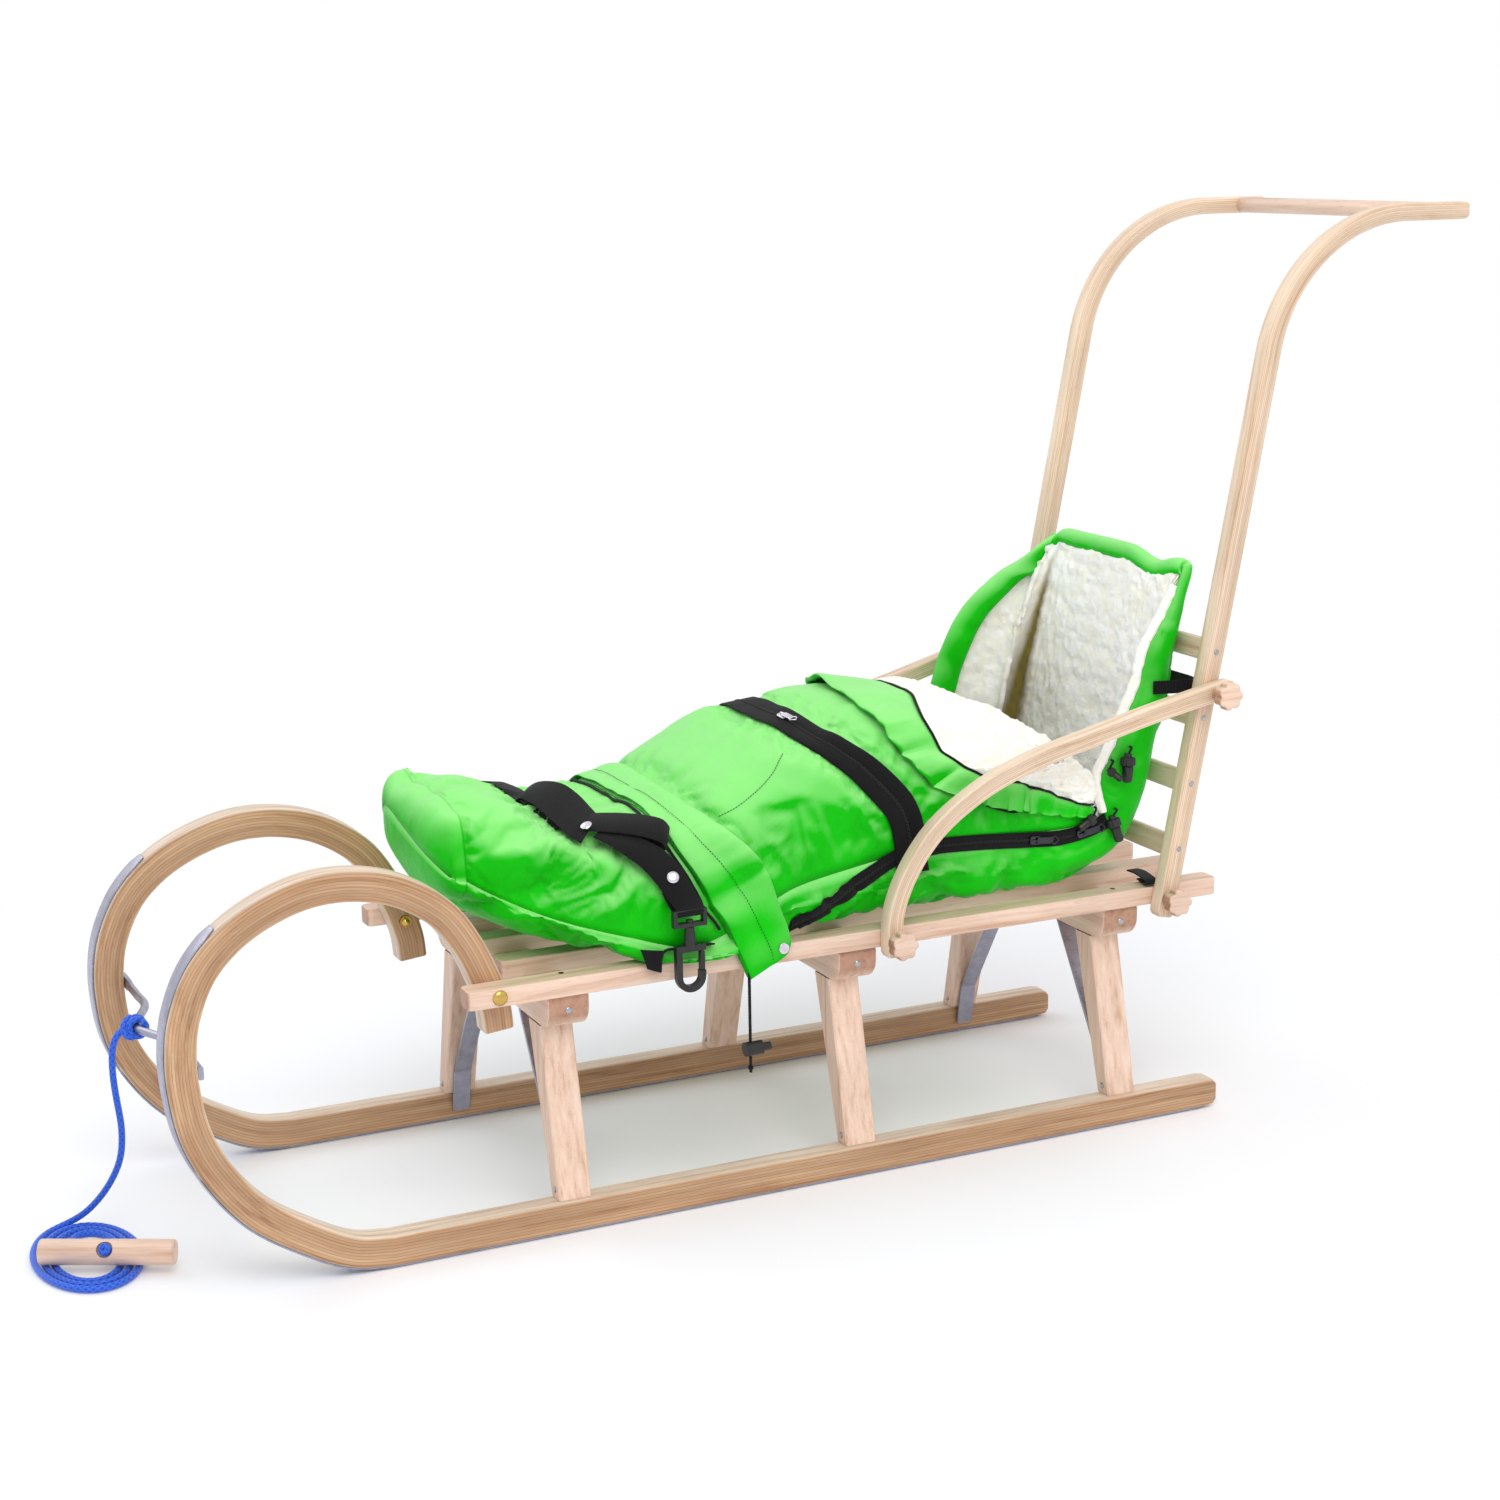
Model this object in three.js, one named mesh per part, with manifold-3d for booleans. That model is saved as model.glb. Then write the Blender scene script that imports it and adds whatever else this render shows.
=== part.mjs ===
// Wooden pull sled with curled horns, a push handle and a padded footmuff.
// Millimetres, +Z up. The horns point towards -Y, the sled's left side is +X,
// and the origin lies on the ground below the middle of the sled.
import * as THREE from 'three';
import { mergeVertices } from 'three/addons/utils/BufferGeometryUtils.js';
import Module from 'manifold-3d';

const wasm = await Module();
wasm.setup();

// Overall sizes
const sledLength = 1100;
const trackWidth = 362;
const hornHeight = 370;
const hornEndDrop = 41.55;
const seatHeight = 247;
const seatWidth = 331.5;
const gripReach = 285;
const gripHeight = 921.5;

// Clearance between pieces that touch, and the overrun of a cut
const fitGap = 0.3;
const overrun = 3;

// Runners and shoes
const runnerWidth = 25;
const runnerThickness = 29;
const runnerEdge = 2;
const runnerTipLength = 12;
const hornStart = 905;
const shoeWidth = 20;
const shoeThickness = 2;
const shoeTipLength = 14;
const shoeSetback = 6;

// Legs and cross beams
const legDepth = 33;
const legEdge = 1.5;
const legFootThickness = 20.7;
const legTopThickness = 31;
const legFootInset = 6;
const legTopSpan = 276;
const legPitch = 304.3;
const frontRow = 2;
const rearLegInset = 115;
const beamLength = 324;
const beamDepth = 41.5;
const beamHeight = 33.5;
const beamEndRadius = 21;
const beamEdgeRadius = 4;

// Slats
const slatWidth = 25.5;
const slatThickness = 18.3;
const slatCorner = 6;
const slatEdge = 1.2;
const slatRearReach = 4;
const innerSlatFrontReach = 36;
const hornBoltMargin = 31;

// Braces
const braceWidth = 19;
const braceThickness = 3;
const braceFootHeight = 11;
const braceBendHeight = 58;
const braceTopReach = 60;
const braceTabLength = 24;

// Tow bar
const towBarHeight = 208;
const towBarTabWidth = 12;
const towBarTabThickness = 5;
const towBarRod = 8;
const towBarKink = 22;
const towBarKinkHalf = 60;
const towBarEndReach = 8;

// Bolts and knobs
const boltRadius = 3;
const boltHeadRadius = 7.5;
const boltHeadHeight = 3.6;
const nutRadius = 6;
const nutHeight = 8;
const knobRadius = 14.5;
const knobLobeDepth = 1.6;
const knobLobes = 7;
const knobHeadThickness = 13;
const knobNeckRadius = 9;
const knobNeckLength = 8;
const knobRounding = 1.5;
const knobBoreDepth = 12;

// Push handle and backrest
const postHoleHeight = 722;
const postHoleRadius = 3;
const postTipLength = 6;
const postWidth = 17.5;
const postDepth = 20.5;
const gripDepth = 17.8;
const postEdge = 1.5;
const postBaseSetback = 66.2;
const postLean = 11.4;
const postDrop = 20;
const bendRadius = 165;
const dowelDiameter = 17;
const dowelInset = 32;
const backSlatHeight = 22;
const backSlatThickness = 10;
const backSlatEdge = 1.5;
const backSlatFirst = 51.4;
const backSlatPitch = 67;

// Armrests
const armWidth = 17.5;
const armDepth = 17.5;
const armEdge = 1.5;
const armSetback = 384;
const armDrop = 17;
const armRise = 235;
const armOverhang = 18;

// Footmuff
const muffLength = 848;
const muffFront = 828;
const muffHalfWidth = 160;
const muffHeight = 333;
const muffWall = 13;
const muffSeatGap = 0.5;
const coverRear = 228;
const liningThickness = 8;
const liningLift = 7;
const flapLength = 100;
const flapThickness = 7;
const flapLift = 0.9;

// Cuff band, strap, hook and drawcord
const cuffFront = 606;
const cuffRear = 500;
const cuffThickness = 3;
const cuffSweep = 46;
const cuffReach = 172;
const cuffTipDrop = 30;
const cuffTipRise = 21;
const cuffTipSweep = 18;
const strapWidth = 25;
const strapThickness = 2.4;
const strapLead = 94;
const strapLift = 1.6;
const hookHang = 302;
const hookLag = 2;
const hookReach = 183;
const hookLoopWidth = 34;
const hookLoopHeight = 17;
const hookLoopWall = 4;
const hookPinRadius = 2.2;
const hookPinHeadRadius = 3.4;
const hookPinHead = 2.4;
const hookThickness = 7;
const hookNeckRadius = 6.5;
const hookNeckLength = 18;
const hookBowWidth = 30;
const hookBowHeight = 46;
const hookBowWall = 6;
const hookNoseLength = 5;
const gateWidth = 4.6;
const gateThickness = 5;
const drawcordDiameter = 3;
const drawcordLength = 66;
const drawcordTail = 24;
const lockRadius = 7;
const lockLength = 18;
const lockBoreSetback = 6;
const buttonRadius = 4;
const buttonReach = 9;
const buttonTravel = 3.5;
const buttonStem = 5;

// Pull rope and toggle
const ropeDiameter = 6.5;
const toggleLength = 126;
const toggleDiameter = 24;
const toggleEdge = 2;
const toggleBore = 8;
const toggleSinkRadius = 7.5;
const toggleSinkDepth = 6;
const toggleKnotRadius = 6.5;
const toggleKnotDepth = 8;
const coilTurns = 3;
const coilPitch = 8.8;
const coilStart = 235;
const coilEnd = 265;
const coilSide = 58;
const coilLong = 85;

// Heights that follow from the sizes above
const runnerBase = shoeThickness + fitGap;
const runnerTop = runnerBase + runnerThickness;
const runnerMid = runnerBase + runnerThickness / 2;
const slatBase = seatHeight - slatThickness;
const slatMid = seatHeight - slatThickness / 2;
const beamTop = slatBase - fitGap;
const beamBase = beamTop - beamHeight;
const seatHalf = seatWidth / 2;
const trackHalf = trackWidth / 2;
const legFootX = trackHalf - legFootInset;
const postInner = seatHalf + fitGap;
const postOuter = postInner + postWidth;
const strapSetback = cuffFront + strapLead;
const hookSetback = cuffFront - hookLag;
const leanAngle = THREE.MathUtils.degToRad(postLean);

// Shares of the horn's reach, its rise and its inward lean
const hornShares = [
  [0, 0, 0], [0.2, 0.016, 0.02], [0.436, 0.078, 0.06], [0.68, 0.168, 0.15],
  [0.856, 0.285, 0.26], [0.958, 0.4, 0.37], [1, 0.53, 0.48], [1, 0.625, 0.56],
  [0.968, 0.7135, 0.64], [0.87, 0.823, 0.73], [0.715, 0.906, 0.8], [0.51, 0.966, 0.86],
  [0.283, 1, 0.91], [0.051, 1, 0.945],
];

// The horn's way down to its end beside the slat: reach, height above the end, lean
const hornTipShares = [
  [-0.19, 0.9255, 0.975], [-0.415, 0.7553, 0.995], [-0.54, 0.5596, 1],
  [-0.632, 0.3362, 1], [-0.685, 0.1489, 1], [-0.7, 0, 1],
];
const hornSteps = 42;
const shoeEndShare = 0.53;

// Shares of the armrest's length and height, from the rear end forwards
const armShares = [
  [1, 1], [0.9, 0.966], [0.76, 0.917], [0.567, 0.839], [0.388, 0.762], [0.244, 0.661],
  [0.12, 0.516], [0.04, 0.339], [0.004, 0.183], [0, 0.08], [0, 0],
];
const armSteps = 18;

// Footmuff sections: shares of length, half width and height, and corner fullness
const muffShares = [
  [0, 0.6, 0.445, 3], [0.033, 0.675, 0.474, 3], [0.071, 0.694, 0.46, 3],
  [0.11, 0.81, 0.423, 3], [0.163, 0.94, 0.387, 3], [0.222, 0.988, 0.363, 3],
  [0.281, 1, 0.384, 3], [0.351, 0.988, 0.474, 3], [0.422, 0.963, 0.574, 3],
  [0.505, 0.938, 0.604, 3], [0.587, 0.931, 0.61, 3], [0.658, 0.931, 0.556, 3.5],
  [0.711, 0.931, 0.5, 4], [0.746, 0.931, 0.4, 5], [0.788, 0.931, 0.52, 6],
  [0.823, 0.931, 0.684, 7], [0.864, 0.931, 0.82, 7], [0.906, 0.931, 0.928, 7],
  [0.953, 0.931, 0.985, 7], [1, 0.931, 1, 7],
];
const muffSides = 28;
const rimShare = 1;
const flapEdgeSteps = 3;

// Route of the rope's free stretch, from the tow bar to the coil on the ground
const ropeRoute = [
  [0, -1107, 204], [0, -1111.5, 194], [-1, -1113, 165], [-2, -1111, 140], [-3, -1108, 110],
  [-8, -1110, 80], [-18, -1118, 55], [-33, -1130, 31], [-46, -1143, 14], [-53, -1155, 6],
];
const coilCentre = new THREE.Vector3(28, -1152, 0);
const coilSideAxis = new THREE.Vector3(0.46, 0.888, 0);
const coilLongAxis = new THREE.Vector3(0.979, -0.206, 0);
const toggleCentre = new THREE.Vector3(64, -1142, 0);
const coilTail = [
  [-27, -1149, 3.3], [-20, -1154, 3.3], [-7, -1154, 3.3], [12, -1147, 3.3], [28, -1137, 3.3],
  [40, -1132, 4.2],
];
const toggleKnotShares = [[0, 0.7], [0.2, 1], [0.7, 1], [1, 0.6]];
const toggleTurn = 62.5;
const toggleTilt = 35;

const colours = {
  beech: 0xe3c39a, beechSide: 0xc9995f, beechKnob: 0xe9cfa6, steel: 0x9fa2b4, black: 0x17171a,
  brass: 0xb99a4a, green: 0x33e322, fleece: 0xf1ecdc, rope: 0x1457d2,
};
const finish = (colour, roughness, metalness = 0) =>
  new THREE.MeshStandardMaterial({ color: colour, roughness, metalness });
const materials = {
  beech: finish(colours.beech, 0.55),
  laminate: finish(colours.beechSide, 0.5),
  knob: finish(colours.beechKnob, 0.5),
  steel: finish(colours.steel, 0.35, 0.9),
  black: finish(colours.black, 0.45),
  brass: finish(colours.brass, 0.3, 1),
  green: finish(colours.green, 0.6),
  fleece: finish(colours.fleece, 0.95),
  rope: finish(colours.rope, 0.75),
};

// Makes the winding of a closed skin point outwards
function outward(geometry) {
  const position = geometry.getAttribute('position');
  const index = geometry.getIndex();
  const a = new THREE.Vector3();
  const b = new THREE.Vector3();
  const c = new THREE.Vector3();
  let volume = 0;
  for (let i = 0; i < index.count; i += 3) {
    a.fromBufferAttribute(position, index.getX(i));
    b.fromBufferAttribute(position, index.getX(i + 1));
    c.fromBufferAttribute(position, index.getX(i + 2));
    volume += a.dot(b.cross(c));
  }
  if (volume < 0) {
    for (let i = 0; i < index.count; i += 3) {
      const first = index.getX(i);
      index.setX(i, index.getX(i + 1));
      index.setX(i + 1, first);
    }
  }
  return geometry;
}

// A closed skin over rings of equally many points, with flat ends
function ringSolid(rings) {
  const sides = rings[0].length;
  const position = [];
  const index = [];
  rings.forEach((ring) => ring.forEach((p) => position.push(p.x, p.y, p.z)));
  for (let i = 0; i + 1 < rings.length; i += 1) {
    for (let j = 0; j < sides; j += 1) {
      const a = i * sides + j;
      const b = i * sides + ((j + 1) % sides);
      index.push(a, b, b + sides, a, b + sides, a + sides);
    }
  }
  [0, rings.length - 1].forEach((row) => {
    const middle = new THREE.Vector3();
    rings[row].forEach((p) => middle.addScaledVector(p, 1 / sides));
    const centre = position.length / 3;
    position.push(middle.x, middle.y, middle.z);
    for (let j = 0; j < sides; j += 1) {
      const a = row * sides + j;
      const b = row * sides + ((j + 1) % sides);
      if (row === 0) index.push(b, a, centre);
      else index.push(a, b, centre);
    }
  });
  const geometry = new THREE.BufferGeometry();
  geometry.setAttribute('position', new THREE.Float32BufferAttribute(position, 3));
  geometry.setIndex(index);
  return outward(geometry);
}

function bare(geometry) {
  const copy = geometry.clone();
  copy.deleteAttribute('normal');
  copy.deleteAttribute('uv');
  return outward(mergeVertices(copy));
}

function toSolid(geometry) {
  const merged = bare(geometry);
  return new wasm.Manifold(new wasm.Mesh({
    numProp: 3,
    vertProperties: new Float32Array(merged.getAttribute('position').array),
    triVerts: new Uint32Array(merged.getIndex().array),
  }));
}

function fromSolid(solid) {
  const mesh = solid.getMesh();
  const geometry = new THREE.BufferGeometry();
  geometry.setAttribute('position', new THREE.Float32BufferAttribute(mesh.vertProperties, 3));
  geometry.setIndex(Array.from(mesh.triVerts));
  return geometry;
}

const cut = (geometry, ...tools) =>
  fromSolid(tools.reduce((solid, tool) => solid.subtract(toSolid(tool)), toSolid(geometry)));
const join = (geometry, ...others) =>
  fromSolid(others.reduce((solid, other) => solid.add(toSolid(other)), toSolid(geometry)));

function crosswise(radius, from, to, y, z, sides = 16) {
  const rod = new THREE.CylinderGeometry(radius, radius, Math.abs(to - from), sides);
  rod.rotateZ(Math.PI / 2);
  rod.translate((from + to) / 2, y, z);
  return rod;
}

// A rectangle with cut corners, in a sideways and an outward direction
function section(centre, sideways, outwards, halfWidth, halfDepth, edge) {
  const points = [
    [halfWidth - edge, halfDepth], [halfWidth, halfDepth - edge],
    [halfWidth, edge - halfDepth], [halfWidth - edge, -halfDepth],
    [edge - halfWidth, -halfDepth], [-halfWidth, edge - halfDepth],
    [-halfWidth, halfDepth - edge], [edge - halfWidth, halfDepth],
  ];
  return points.map(([s, t]) =>
    centre.clone().addScaledVector(sideways, s).addScaledVector(outwards, t));
}

const sideAxis = new THREE.Vector3(1, 0, 0);

// Bars bent in a plane that faces sideways; each station may drift along X
function bentBar(stations, halfWidth, edge, offset = 0) {
  const last = stations.length - 1;
  const rings = stations.map((station, i) => {
    const ahead = stations[Math.min(i + 1, last)].at;
    const behind = stations[Math.max(i - 1, 0)].at;
    const along = new THREE.Vector3(0, ahead.y - behind.y, ahead.z - behind.z).normalize();
    const outwards = new THREE.Vector3(0, -along.z, along.y);
    const half = station.halfDepth * (station.round ?? 1);
    const wide = halfWidth * (station.narrow ?? 1);
    const centre = station.at.clone().addScaledVector(outwards, offset);
    return section(centre, sideAxis, outwards, wide, half, Math.min(edge, half / 2));
  });
  return ringSolid(rings);
}

// Runners, horns and shoes

const hornLean = trackHalf - (seatHalf - slatWidth - fitGap);
const hornReach = sledLength - hornStart - runnerBase - runnerThickness / 2;
const hornRise = hornHeight - runnerThickness / 2 - runnerMid;
const runnerCentreX = trackHalf - runnerWidth / 2;

const hornEndShare = (slatMid - hornEndDrop - runnerMid) / hornRise;
const hornCurve = new THREE.CatmullRomCurve3(
  [
    ...hornShares,
    ...hornTipShares.map(([reach, rise, lean]) =>
      [reach, hornEndShare + (1 - hornEndShare) * rise, lean]),
  ].map(([reach, rise, lean]) => new THREE.Vector3(
    runnerCentreX - hornLean * lean,
    -hornStart - hornReach * reach,
    runnerMid + hornRise * rise,
  )),
  false,
  'centripetal',
);
const hornPoints = hornCurve.getPoints(hornSteps);

// Where the horn's front, or its rear end, passes a given height
function hornAt(height, rearEnd) {
  for (let i = 1; i < hornPoints.length; i += 1) {
    const before = hornPoints[i - 1];
    const after = hornPoints[i];
    const passes = rearEnd
      ? before.z >= height && after.z < height
      : before.z < height && after.z >= height;
    if (passes) {
      return before.clone().lerp(after, (height - before.z) / (after.z - before.z));
    }
  }
  return hornPoints[hornPoints.length - 1].clone();
}

// The origin lies midway between the horns' front and the grips' ends
const foremost = Math.min(...hornPoints.map((point) => point.y))
  - runnerThickness / 2 - fitGap - shoeThickness;
const originShift = -(foremost + gripReach) / 2;

const tipShares = [[0, 0.7], [0.3, 0.9], [1, 1]];

function runnerSolid() {
  const halfDepth = runnerThickness / 2;
  const stations = tipShares.map(([along, round]) => ({
    at: new THREE.Vector3(runnerCentreX, -runnerTipLength * along, runnerMid),
    halfDepth,
    round,
  }));
  hornPoints.forEach((at) => stations.push({ at, halfDepth }));
  return bentBar(stations, runnerWidth / 2, runnerEdge);
}

function shoeSolid() {
  const halfDepth = shoeThickness / 2;
  const offset = runnerThickness / 2 + fitGap + halfDepth;
  const used = Math.round(hornSteps * shoeEndShare);
  const stations = tipShares.map(([along, narrow]) => ({
    at: new THREE.Vector3(runnerCentreX, -shoeSetback - shoeTipLength * along, runnerMid),
    halfDepth,
    narrow,
  }));
  hornPoints.slice(0, used + 1).forEach((at, i) => {
    const narrow = i === used ? tipShares[0][1] : 1;
    stations.push({ at, halfDepth, narrow });
  });
  return bentBar(stations, shoeWidth / 2, halfDepth / 2, offset);
}

const hornBoltAt = hornAt(slatMid, true);

// Legs, cross beams and braces

const legCentre = (row) => -rearLegInset - legPitch * row;

function legSolid(row) {
  const topX = legTopSpan / 2;
  const top = beamBase - fitGap;
  const foot = runnerTop + fitGap;
  const ends = [
    { x: legFootX - legFootThickness / 2, z: foot, half: legFootThickness / 2 },
    { x: topX - legTopThickness / 2, z: top, half: legTopThickness / 2 },
  ];
  const forwards = new THREE.Vector3(0, 1, 0);
  const rings = ends.map((end) => section(
    new THREE.Vector3(end.x, legCentre(row), end.z),
    sideAxis,
    forwards,
    end.half,
    legDepth / 2,
    legEdge,
  ));
  return ringSolid(rings);
}

// Inner face of a leg at a height
function legInnerAt(height) {
  const footInner = legFootX - legFootThickness;
  const topInner = legTopSpan / 2 - legTopThickness;
  const share = (height - runnerTop) / (beamBase - runnerTop);
  return footInner + (topInner - footInner) * share;
}

function roundedOutline(halfX, lowY, highY, lowRadius, highRadius) {
  const outline = new THREE.Shape();
  outline.moveTo(-halfX, lowY + lowRadius);
  outline.absarc(-halfX + lowRadius, lowY + lowRadius, lowRadius, Math.PI, Math.PI * 1.5);
  outline.absarc(halfX - lowRadius, lowY + lowRadius, lowRadius, -Math.PI / 2, 0);
  outline.absarc(halfX - highRadius, highY - highRadius, highRadius, 0, Math.PI / 2);
  outline.absarc(-halfX + highRadius, highY - highRadius, highRadius, Math.PI / 2, Math.PI);
  return outline;
}

function beamSolid(row) {
  const outline = roundedOutline(beamLength / 2, beamBase, beamTop, beamEndRadius, beamEdgeRadius);
  const beam = new THREE.ExtrudeGeometry(outline, {
    depth: beamDepth, bevelEnabled: false, curveSegments: 4,
  });
  beam.rotateX(Math.PI / 2);
  beam.translate(0, legCentre(row) - legDepth / 2 + beamDepth, 0);
  return bare(beam);
}

function braceSolid(row) {
  const half = braceThickness / 2;
  const runnerInner = trackHalf - runnerWidth;
  const tabZ = beamBase - fitGap - half;
  const route = [
    [runnerInner - fitGap - half, braceFootHeight, 0.6],
    [runnerInner - fitGap - half, braceFootHeight + half, 1],
    [legInnerAt(braceBendHeight) - fitGap - half, braceBendHeight, 1],
    [braceTopReach, tabZ - half, 1],
    [braceTopReach - braceThickness, tabZ, 1],
    [braceTopReach - braceTabLength, tabZ, 1],
  ];
  const rings = route.map(([x, z, narrow], i) => {
    const [x0, z0] = route[Math.max(i - 1, 0)];
    const [x1, z1] = route[Math.min(i + 1, route.length - 1)];
    const along = new THREE.Vector3(x1 - x0, 0, z1 - z0).normalize();
    const outwards = new THREE.Vector3(along.z, 0, -along.x);
    const wide = (braceWidth / 2) * narrow;
    return section(
      new THREE.Vector3(x, legCentre(row), z),
      new THREE.Vector3(0, 1, 0),
      outwards,
      wide,
      half,
      half / 2,
    );
  });
  return ringSolid(rings);
}

// Slats

function slatSolid(x, front, rear) {
  const half = slatWidth / 2;
  const outline = new THREE.Shape();
  const corner = slatCorner;
  outline.moveTo(-half, front + corner);
  outline.absarc(-half + corner, front + corner, corner, Math.PI, Math.PI * 1.5);
  outline.absarc(half - corner, front + corner, corner, -Math.PI / 2, 0);
  outline.absarc(half - corner, rear - corner, corner, 0, Math.PI / 2);
  outline.absarc(-half + corner, rear - corner, corner, Math.PI / 2, Math.PI);
  const slat = new THREE.ExtrudeGeometry(outline, {
    depth: slatThickness - slatEdge * 2,
    bevelEnabled: true,
    bevelThickness: slatEdge,
    bevelSize: slatEdge,
    bevelOffset: -slatEdge,
    bevelSegments: 1,
    curveSegments: 2,
  });
  slat.translate(x, 0, slatBase + slatEdge);
  return bare(slat);
}

const outerSlatX = seatHalf - slatWidth / 2;
const slatPitch = outerSlatX / 2;

// Posts, grips and backrest

const lean = Math.tan(leanAngle);
const postYAt = (height) => -postBaseSetback + (height - slatMid) * lean;
const bendCentreZ = gripHeight - bendRadius;
const bendStartZ = bendCentreZ + bendRadius * Math.sin(leanAngle);
const bendCentreY = postYAt(bendStartZ) + bendRadius * Math.cos(leanAngle);
const postBottom = slatMid - postDrop;
const bendSteps = 10;
const postX = postInner + postWidth / 2;

function postSolid() {
  const stations = [];
  const postHalf = postDepth / 2;
  const gripHalf = gripDepth / 2;
  const depthAt = (share) => postHalf + (gripHalf - postHalf) * share;
  tipShares.forEach(([along, round]) => {
    const z = postBottom + postTipLength * along;
    stations.push({ at: new THREE.Vector3(postX, postYAt(z), z), halfDepth: postHalf, round });
  });
  for (let i = 0; i <= bendSteps; i += 1) {
    const share = i / bendSteps;
    const angle = leanAngle + (Math.PI / 2 - leanAngle) * share;
    stations.push({
      at: new THREE.Vector3(
        postX,
        bendCentreY - bendRadius * Math.cos(angle),
        bendCentreZ + bendRadius * Math.sin(angle),
      ),
      halfDepth: depthAt(share),
    });
  }
  [...tipShares].reverse().forEach(([along, round]) => {
    const y = gripReach - postTipLength * along;
    stations.push({ at: new THREE.Vector3(postX, y, gripHeight), halfDepth: gripHalf, round });
  });
  return bentBar(stations, postWidth / 2, postEdge);
}

function dowelSolid() {
  const half = postInner - fitGap;
  const rod = crosswise(dowelDiameter / 2, -half, half, gripReach - dowelInset, gripHeight, 20);
  return bare(rod);
}

function backSlatSolid(row) {
  const z = slatMid + backSlatFirst + backSlatPitch * row;
  const up = new THREE.Vector3(0, Math.sin(leanAngle), Math.cos(leanAngle));
  const back = new THREE.Vector3(0, Math.cos(leanAngle), -Math.sin(leanAngle));
  const reach = postInner - fitGap;
  const rings = [-reach, reach].map((x) => section(
    new THREE.Vector3(x, postYAt(z), z),
    up,
    back,
    backSlatHeight / 2,
    backSlatThickness / 2,
    backSlatEdge,
  ));
  return ringSolid(rings);
}

// Armrests: the front end lies on the outer slat, the rear end on the post

const armFrontX = postInner + armWidth / 2;
const armRearX = postOuter + fitGap + armWidth / 2;
const armBase = slatMid - armDrop;
const armTop = armBase + armRise;
const armJointZ = armTop - fitGap;
const armRearY = postYAt(armTop) + armOverhang;
const armLength = armRearY + armSetback;
const armDrift = (armRearX - armFrontX) / (postYAt(armTop) - postDepth / 2 + armSetback);
const armXAt = (y) => armFrontX + Math.max(y + armSetback, 0) * armDrift;

const armCurve = new THREE.CatmullRomCurve3(
  armShares.map(([along, rise]) => {
    const y = -armSetback + armLength * along;
    return new THREE.Vector3(armXAt(y), y, armBase + armRise * rise);
  }),
  false,
  'centripetal',
);
const armPoints = armCurve.getPoints(armSteps);

function armrestSolid() {
  const half = armDepth / 2;
  const last = armPoints.length - 1;
  const stations = armPoints.map((at, i) => ({
    at,
    halfDepth: half,
    round: i === 0 || i === last ? 0.8 : 1,
  }));
  return bentBar(stations, armWidth / 2, armEdge);
}

// Where the armrest's middle line crosses the post's middle line
function armJoint() {
  for (let i = 1; i < armPoints.length; i += 1) {
    const before = armPoints[i - 1];
    const after = armPoints[i];
    const gapBefore = before.y - postYAt(before.z);
    const gapAfter = after.y - postYAt(after.z);
    if (gapBefore >= 0 && gapAfter < 0) {
      return before.clone().lerp(after, gapBefore / (gapBefore - gapAfter));
    }
  }
  return armPoints[0].clone();
}
const armJointAt = armJoint();

// Bolts and knobs: each bolt's head lies inside, its knob outside
const fastenings = {
  post_lower: {
    y: -postBaseSetback, z: slatMid, from: seatHalf - slatWidth, to: postOuter,
  },
  arm_front: {
    y: -armSetback, z: slatMid, from: seatHalf - slatWidth, to: armFrontX + armWidth / 2,
  },
  arm_rear: {
    y: armJointAt.y,
    z: armJointAt.z,
    from: postInner,
    to: armXAt(armJointAt.y + armDepth / 2) + armWidth / 2,
  },
};
const boreRadius = boltRadius + fitGap;

function bore(place) {
  return crosswise(boreRadius, place.from - overrun, place.to + overrun, place.y, place.z, 12);
}

function latheX(profile, sides, y, z) {
  const points = profile.map(([x, r]) => new THREE.Vector2(r, x));
  const turned = new THREE.LatheGeometry(points, sides);
  turned.rotateZ(-Math.PI / 2);
  turned.translate(0, y, z);
  return bare(turned);
}

function boltSolid(place) {
  const headBase = place.from - fitGap;
  const end = place.to + fitGap + knobBoreDepth - fitGap;
  return latheX([
    [headBase - boltHeadHeight, 0],
    [headBase - boltHeadHeight * 0.86, boltHeadRadius * 0.5],
    [headBase - boltHeadHeight * 0.45, boltHeadRadius * 0.88],
    [headBase, boltHeadRadius],
    [headBase, boltRadius],
    [end, boltRadius],
    [end, 0],
  ], 10, place.y, place.z);
}

// A lobed wooden head on a round neck, with a blind bore for the bolt
function knobSolid(place) {
  const base = place.to + fitGap;
  const neckEnd = base + knobNeckLength;
  const face = neckEnd + knobHeadThickness;
  const rows = [
    [base + knobBoreDepth, boreRadius, 0],
    [base, boreRadius, 0],
    [base, knobNeckRadius, 0],
    [neckEnd, knobNeckRadius, 0],
    [neckEnd, knobRadius - knobRounding, 1],
    [neckEnd + knobRounding, knobRadius, 1],
    [face - knobRounding, knobRadius, 1],
    [face, knobRadius - knobRounding, 1],
  ];
  const sides = knobLobes * 3;
  const rings = rows.map(([x, radius, lobed]) => {
    const ring = [];
    for (let i = 0; i < sides; i += 1) {
      const angle = (i / sides) * Math.PI * 2;
      const lobe = lobed * knobLobeDepth * (i % 3 === 0 ? 1 : 0);
      const r = radius - lobe;
      ring.push(new THREE.Vector3(
        x, place.y + r * Math.cos(angle), place.z + r * Math.sin(angle)));
    }
    return ring;
  });
  return ringSolid(rings);
}

// The bolt through the slat and the horn's end, with its domed nut inside
const hornBolt = {
  y: hornBoltAt.y, z: slatMid, from: seatHalf - slatWidth - fitGap - runnerWidth, to: seatHalf,
};

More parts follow.
